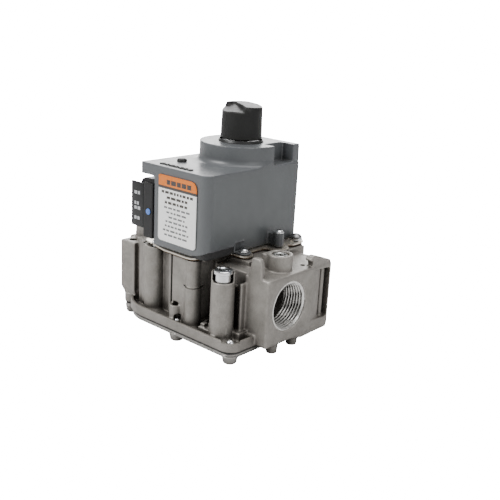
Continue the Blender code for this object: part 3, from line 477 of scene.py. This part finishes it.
CAST = cast_look("cast_aluminium_skin", (0.265, 0.250, 0.228), (0.36, 0.341, 0.315))
CAST_PALE = cast_look("cast_aluminium_pale", (0.37, 0.357, 0.34), (0.49, 0.477, 0.455), 0.06)
THREAD = thread_look()
PAINT = paint_look()
BLACK = plastic_look("moulded_black", (0.014, 0.014, 0.0145))
CHARCOAL = plastic_look("moulded_charcoal", (0.012, 0.0117, 0.0112), 0.36, 0.48, 0.6)
ZINC = metal_look("zinc_plate", (0.50, 0.50, 0.49), (0.72, 0.72, 0.71))
BRIGHT = metal_look("bright_steel", (0.66, 0.67, 0.68), (0.86, 0.87, 0.89), 0.10, 0.22, grain=1.2)
SPRING = metal_look("drawn_wire", (0.36, 0.36, 0.38), (0.52, 0.52, 0.54), 0.22, 0.34)
DECK = metal_look("dull_zinc_plate", (0.42, 0.385, 0.33), (0.60, 0.565, 0.50), 0.30, 0.46)
FIBRE = plastic_look("brown_fibre", (0.085, 0.052, 0.024), 0.6, 0.8, 0.5)
DULL = metal_look("dull_screw_steel", (0.16, 0.16, 0.16), (0.28, 0.28, 0.28), 0.28, 0.42)
BRASS = metal_look("turned_brass", (0.58, 0.40, 0.17), (0.76, 0.57, 0.29), 0.18, 0.32)
RUBBER = rubber_look()
WINDING = winding_look()
WHITE = film_look("white_film", (0.93, 0.93, 0.915), 0.97)
ORANGE = film_look("orange_film", (0.76, 0.185, 0.006), 0.92)
INK = film_look("grey_ink", (0.16, 0.16, 0.165))
DARK_INK = film_look("dark_ink", (0.05, 0.042, 0.036))
PALE_INK = film_look("pale_ink", (0.50, 0.51, 0.53))
BLUE = film_look("blue_dot", (0.08, 0.20, 0.60))

SLOT_LOOKS = {
    "cast_aluminium": CAST,
    "painted_cover": PAINT,
    "black_plastic": BLACK,
    "zinc_steel": ZINC,
    "spring_steel": SPRING,
    "brass": BRASS,
    "rubber": RUBBER,
    "coil_winding": WINDING,
    "label_white": WHITE,
    "label_orange": ORANGE,
    "blue_marker": BLUE,
}


def dress_nodes():
    """Gives every model node the material of its slot."""
    for row in frame["record"]["subparts"]:
        item = NODES[row["node"]]
        item.data.materials.clear()
        item.data.materials.append(SLOT_LOOKS[row["material_slot"]])


def edge_softened(node, width, segments=2, look=None):
    """Rounds the edges of a model node with a modifier."""
    item = NODES[node]
    bevel = item.modifiers.new("edge", "BEVEL")
    bevel.width = width * MM
    bevel.segments = segments
    bevel.limit_method = "ANGLE"
    bevel.angle_limit = math.radians(35.0)
    bevel.use_clamp_overlap = True
    if look:
        item.data.materials[0] = look


# ---- Casting ------------------------------------------------------------------------------------------

PORT_Y = -3.6
PORT_Z = 27.0
TRAY_Z = 9.6
RIM_TOP_Z = 12.6
PITCH = 1.814
THREAD_START = 41.0
THREAD_BORE_R = 13.62
THREAD_END = 54.3
FLANGE_X = 47.2
FLANGE_Y = high_of("main_body").y
FLANGE_CORNERS = [
    (-FLANGE_X, -FLANGE_Y, 24.0),
    (FLANGE_X, -FLANGE_Y, 7.0),
    (FLANGE_X, FLANGE_Y, 12.0),
    (-FLANGE_X, FLANGE_Y, 12.0),
]


def spread(side, low, high):
    """A span along X on the outlet side (1), or its mirror image on the inlet side (-1)."""
    return (low, high) if side > 0 else (-high, -low)


def port_extras(side):
    """Cast detail of one port block that the plain model leaves out."""
    foot = [(-15.0, 7.9), (-9.5, 9.0), (8.7, 5.3), (31.4, 5.8), (31.4, 11.0), (-15.0, 11.0)]
    gusset = [(13.6, 12.6), (19.0, 12.6), (14.8, 19.0), (13.6, 21.0)]
    ramp = [(side * x, y) for x, y in ((54.9, 13.8), (54.9, 14.8), (52.7, 25.0), (43.5, 25.0), (43.5, 13.8))]
    return [
        extrude(foot, spread(side, 48.6, 54.9), "X"),
        extrude(gusset, spread(side, 44.0, 54.2), "X"),
        extrude(ramp, (12.5, 42.0)),
        rod((side * 50.8, 28.3), (12.5, 41.9), 1.8, sides=32),
        block(spread(side, 43.5, 50.8), (27.0, 29.6), (12.5, 41.9)),
    ]


def casting():
    """The cast body: the model's shape with its rim, tray details and port blocks, under one skin."""
    outer = rounded(FLANGE_CORNERS, 0.0, 24)
    inner = rounded(FLANGE_CORNERS, 1.6, 24)
    rim = [(outer, 6.85), (outer, RIM_TOP_Z), (inner, RIM_TOP_Z), (inner, 6.85)]
    shapes = [
        copy_of("main_body"),
        extrude(outer, (6.85, TRAY_Z)),
        skinned([[(x, y, z) for x, y in outline] for outline, z in rim], closed=True),
        rod((-23.0, -29.6), (TRAY_Z - 0.5, TRAY_Z + 1.8), 7.2, 5.9),
        rod((31.6, -30.9), (TRAY_Z - 0.5, TRAY_Z + 2.0), 7.4, 6.2),
        rod((10.6, -31.8), (TRAY_Z - 0.5, TRAY_Z + 1.6), 5.6, 4.5),
        rod((0.0, -34.0), (TRAY_Z - 0.5, TRAY_Z + 1.6), 4.9, 3.9),
        block((18.6, 21.6), (-33.6, -30.2), (9.0, 14.6)),
        block((23.0, 25.2), (-32.2, -29.4), (9.0, 15.4)),
        block((-51.0, -39.0), (-31.3, -20.0), (15.4, 44.5)),
        skinned([
            [(-51.0, -31.3, 16.0), (-39.0, -31.3, 16.0), (-39.0, -20.0, 16.0), (-51.0, -20.0, 16.0)],
            [(-47.2, -29.6, 9.0), (-38.0, -29.6, 9.0), (-38.0, -20.0, 9.0), (-47.2, -20.0, 9.0)],
        ]),
        block((-35.2, -32.3), (-31.0, -26.0), (9.0, 47.5)),
        block((-29.2, -21.6), (-33.6, -27.0), (13.0, 47.5)),
        *port_extras(1),
        *port_extras(-1),
    ]
    body = remeshed(fused(shapes), 0.42, 5, 0.30)
    cutters = []
    for side in (1, -1):
        cutters += [
            rod((PORT_Y, PORT_Z), spread(side, THREAD_START - 0.1, 56.0), THREAD_BORE_R, axis="X", sides=96),
            lathe([(0.0, side * 54.5), (13.6, side * 54.5), (14.6, side * 55.5), (0.0, side * 55.5)],
                  (PORT_Y, PORT_Z), "X", 96),
            rod((side * 45.0, -1.8), (45.5, 55.0), 4.62),
            rod((side * 48.4, 13.6), (43.9, 46.0), 1.5, sides=32),
        ]
    cutters += [
        rod((-45.5, -26.4), (30.0, 46.0), 2.4),
        rod(middle_of("foot_screw_1").xy, (11.6, 13.6), 5.2),
        rod((27.6, 39.9), (32.0, 40.0), 1.1, axis="Y", sides=32),
        block((13.9, 15.6), (-30.0, -19.8), (13.4, 46.4)),
        lathe([(3.75, 32.1), (5.4, 32.1), (5.4, 32.9), (3.75, 32.9)], (10.6, -31.8)),
    ]
    combined(body, cutters, solver="MANIFOLD")
    piece("casting", body, CAST, replaced=["main_body"], sharp=50.0)


def port_thread(side):
    """The tapered pipe thread in one port: a helical ridge on a thin sleeve."""
    start, end = THREAD_START, THREAD_END
    steps = 12
    sides = 96
    rows = int((end - start) / PITCH * steps) + 1
    rings = []
    for row in range(rows):
        x = start + (end - start) * row / (rows - 1)
        ring = []
        for index in range(sides):
            share = (x / PITCH - index / sides) % 1.0
            rise = min(1.0, abs(2.0 * share - 1.0) * 1.35)
            radius = 12.30 + 1.08 * rise - (end - x) / 32.0
            angle = 2 * math.pi * index / sides
            ring.append((side * x, PORT_Y + radius * math.cos(angle), PORT_Z + radius * math.sin(angle)))
        rings.append(ring)
    rings.append(ring_points((PORT_Y, PORT_Z), 13.62, side * end, "X", sides))
    rings.append(ring_points((PORT_Y, PORT_Z), 13.62, side * start, "X", sides))
    name = "outlet_thread" if side > 0 else "inlet_thread"
    piece(name, skinned(rings, closed=True), THREAD, sharp=40.0)


def bottom_plate():
    """Plate under the flange with its hollow screw feet."""
    outline = rounded(FLANGE_CORNERS, 1.2, 24)
    feet = [middle_of(f"foot_screw_{number}") for number in range(1, 7)]
    shapes = [extrude(outline, (3.4, 5.7)), rod(feet[2].xy, (3.4, 5.7), 4.0)]
    shapes += [lathe([(0.0, 0.0), (3.2, 0.0), (3.7, 0.6), (4.4, 4.6), (0.0, 4.6)], at.xy) for at in feet]
    plate = remeshed(fused(shapes), 0.35, 3, 0.35)
    holes = []
    for at in feet:
        holes += [rod(at.xy, (-1.0, 2.4), 2.7), rod(at.xy, (-1.0, 8.0), 1.9)]
    holes.append(rod((4.0, -5.0), (4.7, 7.0), 17.6, sides=96))
    combined(plate, holes, solver="MANIFOLD")
    piece("bottom_plate", plate, CAST_PALE, replaced=["bottom_cover"], sharp=50.0)


# ---- Screws, plugs and the regulator cap --------------------------------------------------------------


def foot_screws():
    """Six screws from below, and the near one's domed end inside the tray."""
    for number in range(1, 7):
        at = middle_of(f"foot_screw_{number}")
        profile = [
            (0.0, 12.55), (0.7, 12.5), (1.2, 12.2), (1.5, 11.6), (1.55, 10.9), (1.4, 10.6),
            (1.4, 2.1), (2.35, 2.1), (2.5, 1.7), (2.5, 0.9), (2.2, 0.5), (0.0, 0.45),
        ]
        screw = lathe(profile, at.xy, sides=40)
        combined(screw, [rod(at.xy, (-1.0, 1.4), 1.3, sides=6)])
        piece(f"foot_bolt_{number}", screw, BRIGHT, replaced=[f"foot_screw_{number}"])
    near = middle_of("foot_screw_1")
    dome = lathe([(0.0, 12.9), (1.2, 12.6), (2.0, 11.8), (2.3, 10.9), (2.3, 9.4), (0.0, 9.4)], near.xy)
    piece("near_screw_dome", dome, BRIGHT)


def slotted_head(name, node, seat, radius, height, shaft, washer=0.0):
    """A screw with a domed head and a cross slot in place of a model screw."""
    at = middle_of(node)
    low = low_of(node).z
    rim = max(washer, radius)
    profile = [
        (0.0, seat + height), (radius * 0.45, seat + height * 0.95), (radius * 0.8, seat + height * 0.72),
        (radius, seat + height * 0.35), (radius, seat + 0.35), (rim, seat + 0.3), (rim, seat),
        (shaft, seat), (shaft, low + 0.6), (0.0, low),
    ]
    screw = lathe(profile, at.xy, sides=48)
    arm = radius * 0.62
    top = (seat + height * 0.45, seat + height + 1.0)
    combined(screw, [
        block((at.x - arm, at.x + arm), (at.y - 0.35, at.y + 0.35), top),
        block((at.x - 0.35, at.x + 0.35), (at.y - arm, at.y + arm), top),
    ])
    return piece(name, screw, BRIGHT, replaced=[node])


def tap_plugs():
    """Pressure tap plugs with a hexagon socket."""
    for name, node in (("outlet_plug", "outlet_tap_plug"), ("inlet_plug", "inlet_tap_plug")):
        at = middle_of(node).xy
        top = high_of(node).z
        plug = lathe([
            (0.0, top), (3.5, top), (4.2, top - 0.5), (4.45, top - 1.2), (4.2, top - 6.6), (0.0, top - 6.6),
        ], at)
        combined(plug, [
            rod(at, (top - 3.6, top + 1.0), 2.75, sides=6, phase=0.3),
            lathe([(0.0, top + 0.2), (3.2, top + 0.2), (2.3, top - 0.7), (0.0, top - 0.7)], at, sides=48),
        ])
        piece(name, plug, ZINC, replaced=[node])


def regulator_cap():
    """The bright slotted cap over the pressure regulator."""
    at = middle_of("regulator_cap").xy
    top = high_of("regulator_cap").z
    profile = [
        (0.0, top - 0.3), (2.6, top - 0.3), (3.0, top), (4.5, top), (4.95, top - 0.3), (5.1, top - 0.8),
        (5.1, top - 1.9), (4.7, top - 2.2), (4.4, top - 2.4), (4.4, 37.0), (0.0, 37.0),
    ]
    cap = lathe(profile, at, sides=72)
    combined(cap, [block((at.x - 6.0, at.x + 6.0), (at.y - 0.75, at.y + 0.75), (top - 1.5, top + 1.0))])
    piece("regulator_plug", cap, BRIGHT, replaced=["regulator_cap"])


def springs():
    """Coil springs: a copy of each node that a joint lists as deforming, with a mesh of its own."""
    for joint in frame["record"]["behaviour"]["joints"]:
        for row in joint.get("deforming_nodes", []):
            node = row["node"]
            coil = piece(f"{node}_coil", copy_of(node), SPRING, replaced=[node])
            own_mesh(coil)


def small_screws():
    """The cover's two screws, the plate's screw, and the earth screw on its cupped washer."""
    front = high_of("cover_screw_front").z
    side = high_of("cover_screw_side").z
    plate = high_of("plate_screw").z
    slotted_head("front_screw", "cover_screw_front", front - 1.6, 2.2, 1.6, 1.4, 2.7)
    slotted_head("side_screw", "cover_screw_side", side - 1.6, 2.4, 1.6, 1.4, 2.9)
    slotted_head("left_screw", "plate_screw", plate - 1.4, 1.5, 1.4, 1.1)
    ground = slotted_head("earth_screw", "ground_screw", 51.2, 3.4, 2.2, 1.15)
    ground.data.materials[0] = DULL
    at = middle_of("ground_washer").xy
    cup = [(3.8, 50.9), (3.7, 50.6), (3.8, 50.1), (1.9, 50.1), (1.9, 50.9)]
    piece("earth_washer", lathe(cup, at), BRIGHT, replaced=["ground_washer"])


# ---- Cover --------------------------------------------------------------------------------------------

COVER_FRONT_Y = low_of("cover").y
COVER_REAR_Y = high_of("cover").y
COVER_LEFT_X = low_of("cover").x
COVER_RIGHT_X = 21.7
FACE_LEFT_X = -18.6
COVER_BASE_Z = low_of("cover").z
OVERHANG_Z = 88.0
SHELF_Z = 94.4
DRUM_TOP_Z = high_of("cover").z
DRUM_R = 23.1
KNOB_AT = middle_of("knob").xy
WALL = 2.0
FRONT_FOOT_TOP = 50.8
SIDE_FOOT_TOP = 57.6
FILLET = 3.4
LEAD_X = -20.6
# Lower edge of the cover's right side, which stands above the plate near its front corner
RAISED_EDGE = [(9.8, COVER_BASE_Z), (13.0, 50.7), (16.0, 51.3), (19.4, 52.6), (21.0, 53.6), (30.0, 53.6)]


def cover():
    """The painted cover: a hollow box with an overhanging shelf, a drum, an ear and two screw feet."""
    knob = KNOB_AT
    base = COVER_BASE_Z
    front, rear, right = COVER_FRONT_Y, COVER_REAR_Y, COVER_RIGHT_X
    lower = rounded([
        (FACE_LEFT_X, front, 1.0), (right, front, 5.0), (right, rear, 1.0),
        (COVER_LEFT_X, rear, 4.0), (COVER_LEFT_X, -4.0, 1.0), (FACE_LEFT_X, -4.0, 0.0),
    ])
    shelf = rounded([
        (COVER_LEFT_X, front, 0.9), (right, front, 5.0), (right, rear, 1.0), (COVER_LEFT_X, rear, 4.0),
    ])
    raised = rounded([
        (knob.x - DRUM_R, knob.y, 0.5), (21.4, knob.y, 0.5),
        (21.4, rear - 0.2, 1.0), (knob.x - DRUM_R, rear - 0.2, 4.0),
    ])
    screw = middle_of("cover_screw_front")
    rise = [(9.8, base - 1.0), *RAISED_EDGE, (30.0, base - 1.0)]
    shell = combined(
        extrude(lower, (base, OVERHANG_Z + 1.0)),
        [extrude(rise, (-40.0, screw.y - 4.2), "Y")],
    )
    fillet = [(0.0, DRUM_TOP_Z), (DRUM_R, DRUM_TOP_Z)]
    for step in range(9):
        angle = math.pi / 2 * step / 8
        fillet.append((DRUM_R + FILLET * (1 - math.cos(angle)), SHELF_Z + FILLET * (1 - math.sin(angle))))
    fillet += [(DRUM_R + FILLET, 90.0), (0.0, 90.0)]
    drum = combined(lathe(fillet, knob, sides=128), [extrude(shelf, (85.0, 120.0))], "INTERSECT")
    side = middle_of("cover_screw_side")
    combined(shell, [
        extrude(shelf, (OVERHANG_Z, SHELF_Z)),
        drum,
        extrude(raised, (OVERHANG_Z + 2.0, DRUM_TOP_Z - 0.4)),
        rod(screw.xy, (base, FRONT_FOOT_TOP), 3.8),
        block((20.0, screw.x), (screw.y - 3.7, screw.y + 3.7), (base, FRONT_FOOT_TOP)),
        rod(side.xy, (base, SIDE_FOOT_TOP), 2.9),
        block((20.0, side.x), (side.y - 2.3, side.y + 2.3), (base, SIDE_FOOT_TOP - 0.6)),
    ], "UNION")
    drum_hollow = combined(
        rod(knob, (SHELF_Z - 3.0, DRUM_TOP_Z - WALL), DRUM_R - WALL),
        [block((11.0, 30.0), (15.0, 50.0), (80.0, 120.0))],
    )
    combined(shell, [
        block((13.2, 30.0), (17.0, 33.6), (94.8, 120.0)),
        block((FACE_LEFT_X + WALL, right - WALL), (front + WALL, rear - WALL), (base - 1.0, SHELF_Z - WALL)),
        block((COVER_LEFT_X + WALL, 0.0), (-4.0 + WALL, rear - WALL), (base - 1.0, SHELF_Z - WALL)),
        drum_hollow,
        block((knob.x - DRUM_R + WALL, 11.0), (knob.y, 36.0), (SHELF_Z - 3.0, DRUM_TOP_Z - WALL - 0.4)),
    ])
    remeshed(shell, 0.4, 4, 0.35)
    cuts = [
        rod(knob, (100.0, 110.0), 4.0),
        rod(screw.xy, (FRONT_FOOT_TOP + 0.1, 55.6), 4.9),
        rod(screw.xy, (48.0, 60.0), 1.9),
        rod(side.xy, (48.0, 60.0), 1.9),
    ]
    for number in (1, 2, 3):
        height = middle_of(f"terminal_blade_{number}").z
        cuts.append(rod((LEAD_X, height), (-5.0, -1.0), 1.3, axis="Y", sides=32))
    combined(shell, cuts, solver="MANIFOLD")
    piece("cover_shell", shell, PAINT, replaced=["cover"], sharp=50.0)


def dark_edge_strip():
    """Dark strip behind the raised lower edge, between the cover and the plate."""
    left, front, right, rear = 9.8, COVER_FRONT_Y, COVER_RIGHT_X, -12.8
    outer = rounded([
        (left, front + 0.6, 0.0), (right - 0.6, front + 0.6, 4.4),
        (right - 0.6, rear, 0.0), (left, rear, 0.0),
    ])
    inner = rounded([
        (5.0, front + 1.7, 0.0), (right - 1.7, front + 1.7, 3.3),
        (right - 1.7, -5.0, 0.0), (5.0, -5.0, 0.0),
    ])
    plate_top = high_of("mounting_plate").z
    strip = combined(extrude(outer, (plate_top + 0.1, 54.4)), [extrude(inner, (plate_top - 1.0, 56.0))])
    piece("dark_edge_strip", strip, RUBBER)


def cover_trim():
    """Small cap and a row of plain ridges on the shelf, the knob's ring, and a mark on the drum."""
    at = middle_of("cover_button").xy
    top = high_of("cover_button").z
    cap = [
        (0.0, top), (1.6, top), (2.3, top - 0.25), (2.7, top - 0.8), (2.75, SHELF_Z + 0.02), (0.0, SHELF_Z),
    ]
    piece("shelf_cap", lathe(cap, at), BLACK, replaced=["cover_button"])
    ridges = []
    for index in range(7):
        x = -16.9 + index * 3.5
        width = 1.15 if index % 2 else 1.45
        ridges.append(soft_block(
            (x - width, x + width), (-31.4, -28.8), (SHELF_Z - 0.3, SHELF_Z + 0.6), 0.35
        ))
    piece("shelf_ridges", fused(ridges), CHARCOAL)
    ring = [(12.7, 105.24), (12.75, 105.45), (12.6, 105.7), (12.1, 106.65), (11.95, 106.6), (11.95, 105.24)]
    low = middle_of("knob_bezel")
    piece("knob_ring", lathe(ring, low.xy, sides=128), BLACK, replaced=["knob_bezel"])
    arrow = extrude([(-2.2, -6.6), (-0.4, -6.6), (-1.3, -4.9)], (DRUM_TOP_Z - 0.2, DRUM_TOP_Z + 0.12))
    piece("drum_mark", arrow, PAINT)


# ---- Knob ---------------------------------------------------------------------------------------------

GRIP_ACROSS = Vector((0.7443, 0.6679))
GRIP_DEPTH = Vector((-0.6679, 0.7443))
# Left side of the raised grip: how far across it stands at each depth
GRIP_EDGE = [
    (-12.0, 2.5), (-10.7, 2.2), (-4.0, 0.5), (1.1, -1.7),
    (5.8, -3.3), (7.5, -5.0), (9.0, -7.5), (12.0, -9.0),
]
KNOB_TOP_R = 11.2
KNOB_LOW_R = 11.7


def smooth_step(value, low, high):
    """0 below the low value and 1 above the high one, with an even change between them."""
    share = min(max((value - low) / (high - low), 0.0), 1.0)
    return share * share * (3 - 2 * share)


def grip_edge(depth):
    """Where the grip's left side stands at this depth."""
    for (near, first), (far, second) in zip(GRIP_EDGE, GRIP_EDGE[1:]):
        if depth <= far:
            return first + (second - first) * (depth - near) / (far - near)
    return GRIP_EDGE[-1][1]


def knob_top(x, y):
    """Height of the knob's top: a gently sloping grip, and a scoop with a lip behind it on the left."""
    across = x * GRIP_ACROSS.x + y * GRIP_ACROSS.y
    depth = x * GRIP_DEPTH.x + y * GRIP_DEPTH.y
    raised = smooth_step(across - grip_edge(depth), -1.0, 0.0)
    lip = smooth_step(math.hypot(x, y), 8.7, 9.4) * smooth_step(depth, 5.0, 6.6)
    grip = -0.10 * max(0.0, across - 2.0) - 0.05 * max(0.0, 10.0 - depth)
    floor = -4.0 + 0.17 * (depth + 10.0) - 0.25 * max(0.0, -5.0 - across)
    share = max(raised, lip)
    return high_of("knob").z + min(0.0, floor + (grip - floor) * share)


def knob():
    """The knob as rings of points: up its tapered side, then inwards over its shaped top."""
    base = low_of("knob").z + 0.05
    top_r, low_r = KNOB_TOP_R, KNOB_LOW_R
    sides, rows = 192, 64
    rings = []
    for radius, height in ((low_r - 2.0, base + 0.6), (low_r - 0.5, base), (low_r, base + 0.5)):
        rings.append(ring_points((0.0, 0.0), radius, height, sides=sides))
    turn = [2 * math.pi * index / sides for index in range(sides)]
    rim = [knob_top(top_r * math.cos(a), top_r * math.sin(a)) for a in turn]
    for row in range(1, 9):
        share = row / 8
        ring = []
        for angle, height in zip(turn, rim):
            z = base + 0.5 + (height - 0.5 - base - 0.5) * share
            radius = low_r + (top_r - low_r) * (z - base) / (high_of("knob").z - base)
            ring.append((radius * math.cos(angle), radius * math.sin(angle), z))
        rings.append(ring)
    for row in range(rows):
        radius = (top_r - 0.25) * (1 - row / rows)
        rings.append([(
            radius * math.cos(a), radius * math.sin(a),
            knob_top(radius * math.cos(a), radius * math.sin(a)) - (0.12 if row == 0 else 0.0),
        ) for a in turn])
    rings.append([(0.0, 0.0, knob_top(0.0, 0.0))])
    rings = [[(KNOB_AT.x + x, KNOB_AT.y + y, z) for x, y, z in ring] for ring in rings]
    piece("knob_cap", skinned(rings), CHARCOAL, "knob_group", ["knob"], 38.0)


# ---- Label and terminal block -------------------------------------------------------------------------


# Share of the label's width that each row of bars takes, and whether it is a heavy row
LABEL_ROWS = [
    (0.9, 1), (0.62, 1), (0.72, 1), (0.75, 0), (0.62, 0), (0.5, 0), (0.66, 0), (0.7, 0), (0.8, 0), (0.72, 0),
]
# Height of each row of the legend beside the terminals, and the widths of its bars
LEGEND_ROWS = [(76.6, (2.2, 1.7)), (70.6, (1.6, 1.4)), (67.9, (2.0, 2.2)), (62.2, (1.9, 1.8))]


def label_print():
    """Plain bars in rows, in place of any print."""
    face = low_of("label_panel").y
    left, right = low_of("label_panel").x, high_of("label_panel").x
    panel_top = high_of("label_panel").z
    draw = random.Random(7)
    heavy, light = [], []
    z = panel_top - 2.3
    for width_share, strong in LABEL_ROWS:
        half = (right - left) * width_share / 2 - 1.0
        middle = (left + right) / 2
        x = middle - half
        while x < middle + half - 1.0:
            length = min(draw.uniform(1.4, 3.6), middle + half - x)
            tall = 0.5 + 0.18 * strong
            bar = block((x, x + length), (face - 0.03, face + 0.05), (z - tall, z + tall))
            (heavy if strong else light).append(bar)
            x += length + draw.uniform(0.6, 0.9)
        z -= 2.75 if strong else 2.5
    piece("label_bars_heavy", fused(heavy), DARK_INK)
    piece("label_bars_light", fused(light), INK)
    header = low_of("label_header")
    top = high_of("label_header")
    middle = (header.z + top.z) / 2 - 0.3
    bars = []
    x = header.x + 6.4
    for length in (2.6, 3.8, 2.9, 3.4, 3.0):
        bars.append(block((x, x + length), (face - 0.03, face + 0.05), (middle - 1.25, middle + 1.25)))
        x += length + 0.7
    piece("header_bars", fused(bars), DARK_INK)
    line = block((left, right), (face - 0.04, face + 0.3), (panel_top - 0.5, header.z + 0.5))
    piece("label_divider", line, DARK_INK)


def terminal_details():
    """Legend plate with pale bars, the marker dot, and the housing with its slots for the blades."""
    low, high = low_of("terminal_wing"), high_of("terminal_wing")
    wing = soft_block((low.x, high.x), (low.y, high.y), (low.z, high.z), 0.45)
    piece("legend_plate", wing, BLACK, replaced=["terminal_wing"])
    bars = []
    for z, widths in LEGEND_ROWS:
        x = (low.x + high.x) / 2 - 2.3
        for width in widths:
            bars.append(block((x, x + width), (low.y - 0.04, low.y + 0.05), (z - 0.9, z + 0.9)))
            x += width + 0.7
    piece("legend_bars", fused(bars), PALE_INK)
    at = middle_of("blue_marker")
    face = low_of("blue_marker").y
    dot = lathe(
        [(0.0, face), (1.2, face + 0.05), (1.6, face + 0.2), (1.75, face + 0.45), (0.0, face + 0.45)],
        (at.x, at.z), "Y",
    )
    piece("marker_dot", dot, BLUE, replaced=["blue_marker"])
    low, high = low_of("terminal_block"), high_of("terminal_block")
    top = rounded([(low.x, 80.2, 0.8), (high.x, 80.2, 0.8), (high.x, high.z, 2.6), (low.x, high.z, 4.0)])
    housing = remeshed(fused([
        block((-26.3, high.x), (low.y, high.y), (low.z, 83.6)),
        extrude(top, (low.y + 2.6, high.y - 2.0), "Y"),
    ]), 0.3, 3, 0.35)
    slots = []
    for number in (1, 2, 3):
        blade = middle_of(f"terminal_blade_{number}")
        slots.append(block((-28.0, -23.4), (-29.4, -22.0), (blade.z - 0.9, blade.z + 0.9)))
        slots.append(rod((LEAD_X, blade.z), (-13.0, -9.0), 1.0, axis="Y", sides=32))
    combined(housing, slots, solver="MANIFOLD")
    piece("terminal_housing", housing, BLACK, replaced=["terminal_block"], sharp=50.0)


# ---- Stage, light and camera --------------------------------------------------------------------------

CAMERA_AT = Vector((280.05, -296.87, 172.14))
CAMERA_AXES = (
    Vector((0.7433, 0.6671, 0.0506)), Vector((-0.2351, 0.1897, 0.9533)), Vector((0.6263, -0.7204, 0.2979)),
)
SENSOR = 36.0
FOCAL_SHARE = 747.8 / 500.0
WORLD_LIGHT = 0.44
BACKGROUND_GLOW = 24.0
FLOOR_GLOW = 22.0


def camera():
    """The camera at the chosen viewpoint, made the scene's own."""
    data = bpy.data.cameras.new("camera")
    data.sensor_width = SENSOR
    data.lens = SENSOR * FOCAL_SHARE
    data.clip_start = 0.01
    item = bpy.data.objects.new("camera", data)
    bpy.context.scene.collection.objects.link(item)
    item.matrix_world = Matrix([
        [*(axis[row] for axis in CAMERA_AXES), CAMERA_AT[row] * MM] for row in range(3)
    ] + [[0.0, 0.0, 0.0, 1.0]])
    bpy.context.scene.camera = item


def area_light(name, at, size, power):
    """A square softbox at a point in metres, turned to the middle of the valve."""
    data = bpy.data.lights.new(name, "AREA")
    data.size = size
    data.energy = power
    item = bpy.data.objects.new(name, data)
    bpy.context.scene.collection.objects.link(item)
    item.location = at
    item.rotation_euler = (Vector((0.0, 0.0, 0.06)) - Vector(at)).to_track_quat("-Z", "Y").to_euler()


def stage():
    """White surroundings, a pale floor and four soft lights."""
    world = bpy.data.worlds.new("studio")
    bpy.context.scene.world = world
    world.use_nodes = True
    nodes = world.node_tree.nodes
    back = nodes["Background"]
    back.inputs["Color"].default_value = (1.0, 1.0, 1.0, 1.0)
    path = nodes.new("ShaderNodeLightPath")
    seen = nodes.new("ShaderNodeMapRange")
    seen.inputs["To Min"].default_value = WORLD_LIGHT
    seen.inputs["To Max"].default_value = BACKGROUND_GLOW
    world.node_tree.links.new(path.outputs["Is Camera Ray"], seen.inputs["Value"])
    world.node_tree.links.new(seen.outputs["Result"], back.inputs["Strength"])

    look = Look("pale_floor")
    look.colour(look.ramp(look.noise(400.0, 2.0), [(0.3, (0.66, 0.66, 0.66)), (0.7, (0.70, 0.70, 0.70))]))
    look.roughness(look.noise(300.0, 2.0), 0.5, 0.6)
    look.shader.inputs["Emission Color"].default_value = (1.0, 1.0, 1.0, 1.0)
    glow = look.tree.nodes.new("ShaderNodeMapRange")
    glow.inputs["To Min"].default_value = 0.0
    glow.inputs["To Max"].default_value = FLOOR_GLOW
    floor_path = look.tree.nodes.new("ShaderNodeLightPath")
    look.link(floor_path.outputs["Is Camera Ray"], glow.inputs["Value"])
    look.link(glow.outputs["Result"], look.shader.inputs["Emission Strength"])
    reach = 3000.0
    floor = skinned([
        [(-reach, -reach, -0.2), (reach, -reach, -0.2), (reach, reach, -0.2), (-reach, reach, -0.2)],
        [(-reach, -reach, 0.0), (reach, -reach, 0.0), (reach, reach, 0.0), (-reach, reach, 0.0)],
    ])
    floor.name = "floor"
    floor.data.materials.append(look.material)

    area_light("key", (-0.42, -0.85, 0.90), 0.55, 15.5)
    area_light("fill", (0.95, -0.15, 0.60), 0.7, 2.9)
    area_light("top", (0.05, 0.15, 1.15), 0.8, 8.5)
    area_light("backdrop", (-1.05, 1.20, 0.40), 1.5, 38.0)


dress_nodes()
casting()
for side in (1, -1):
    port_thread(side)
bottom_plate()
foot_screws()
springs()
small_screws()
tap_plugs()
regulator_cap()
cover()
dark_edge_strip()
cover_trim()
knob()
label_print()
terminal_details()
edge_softened("mounting_plate", 0.12, look=DECK)
NODES["top_gasket"].data.materials[0] = FIBRE
stage()
camera()
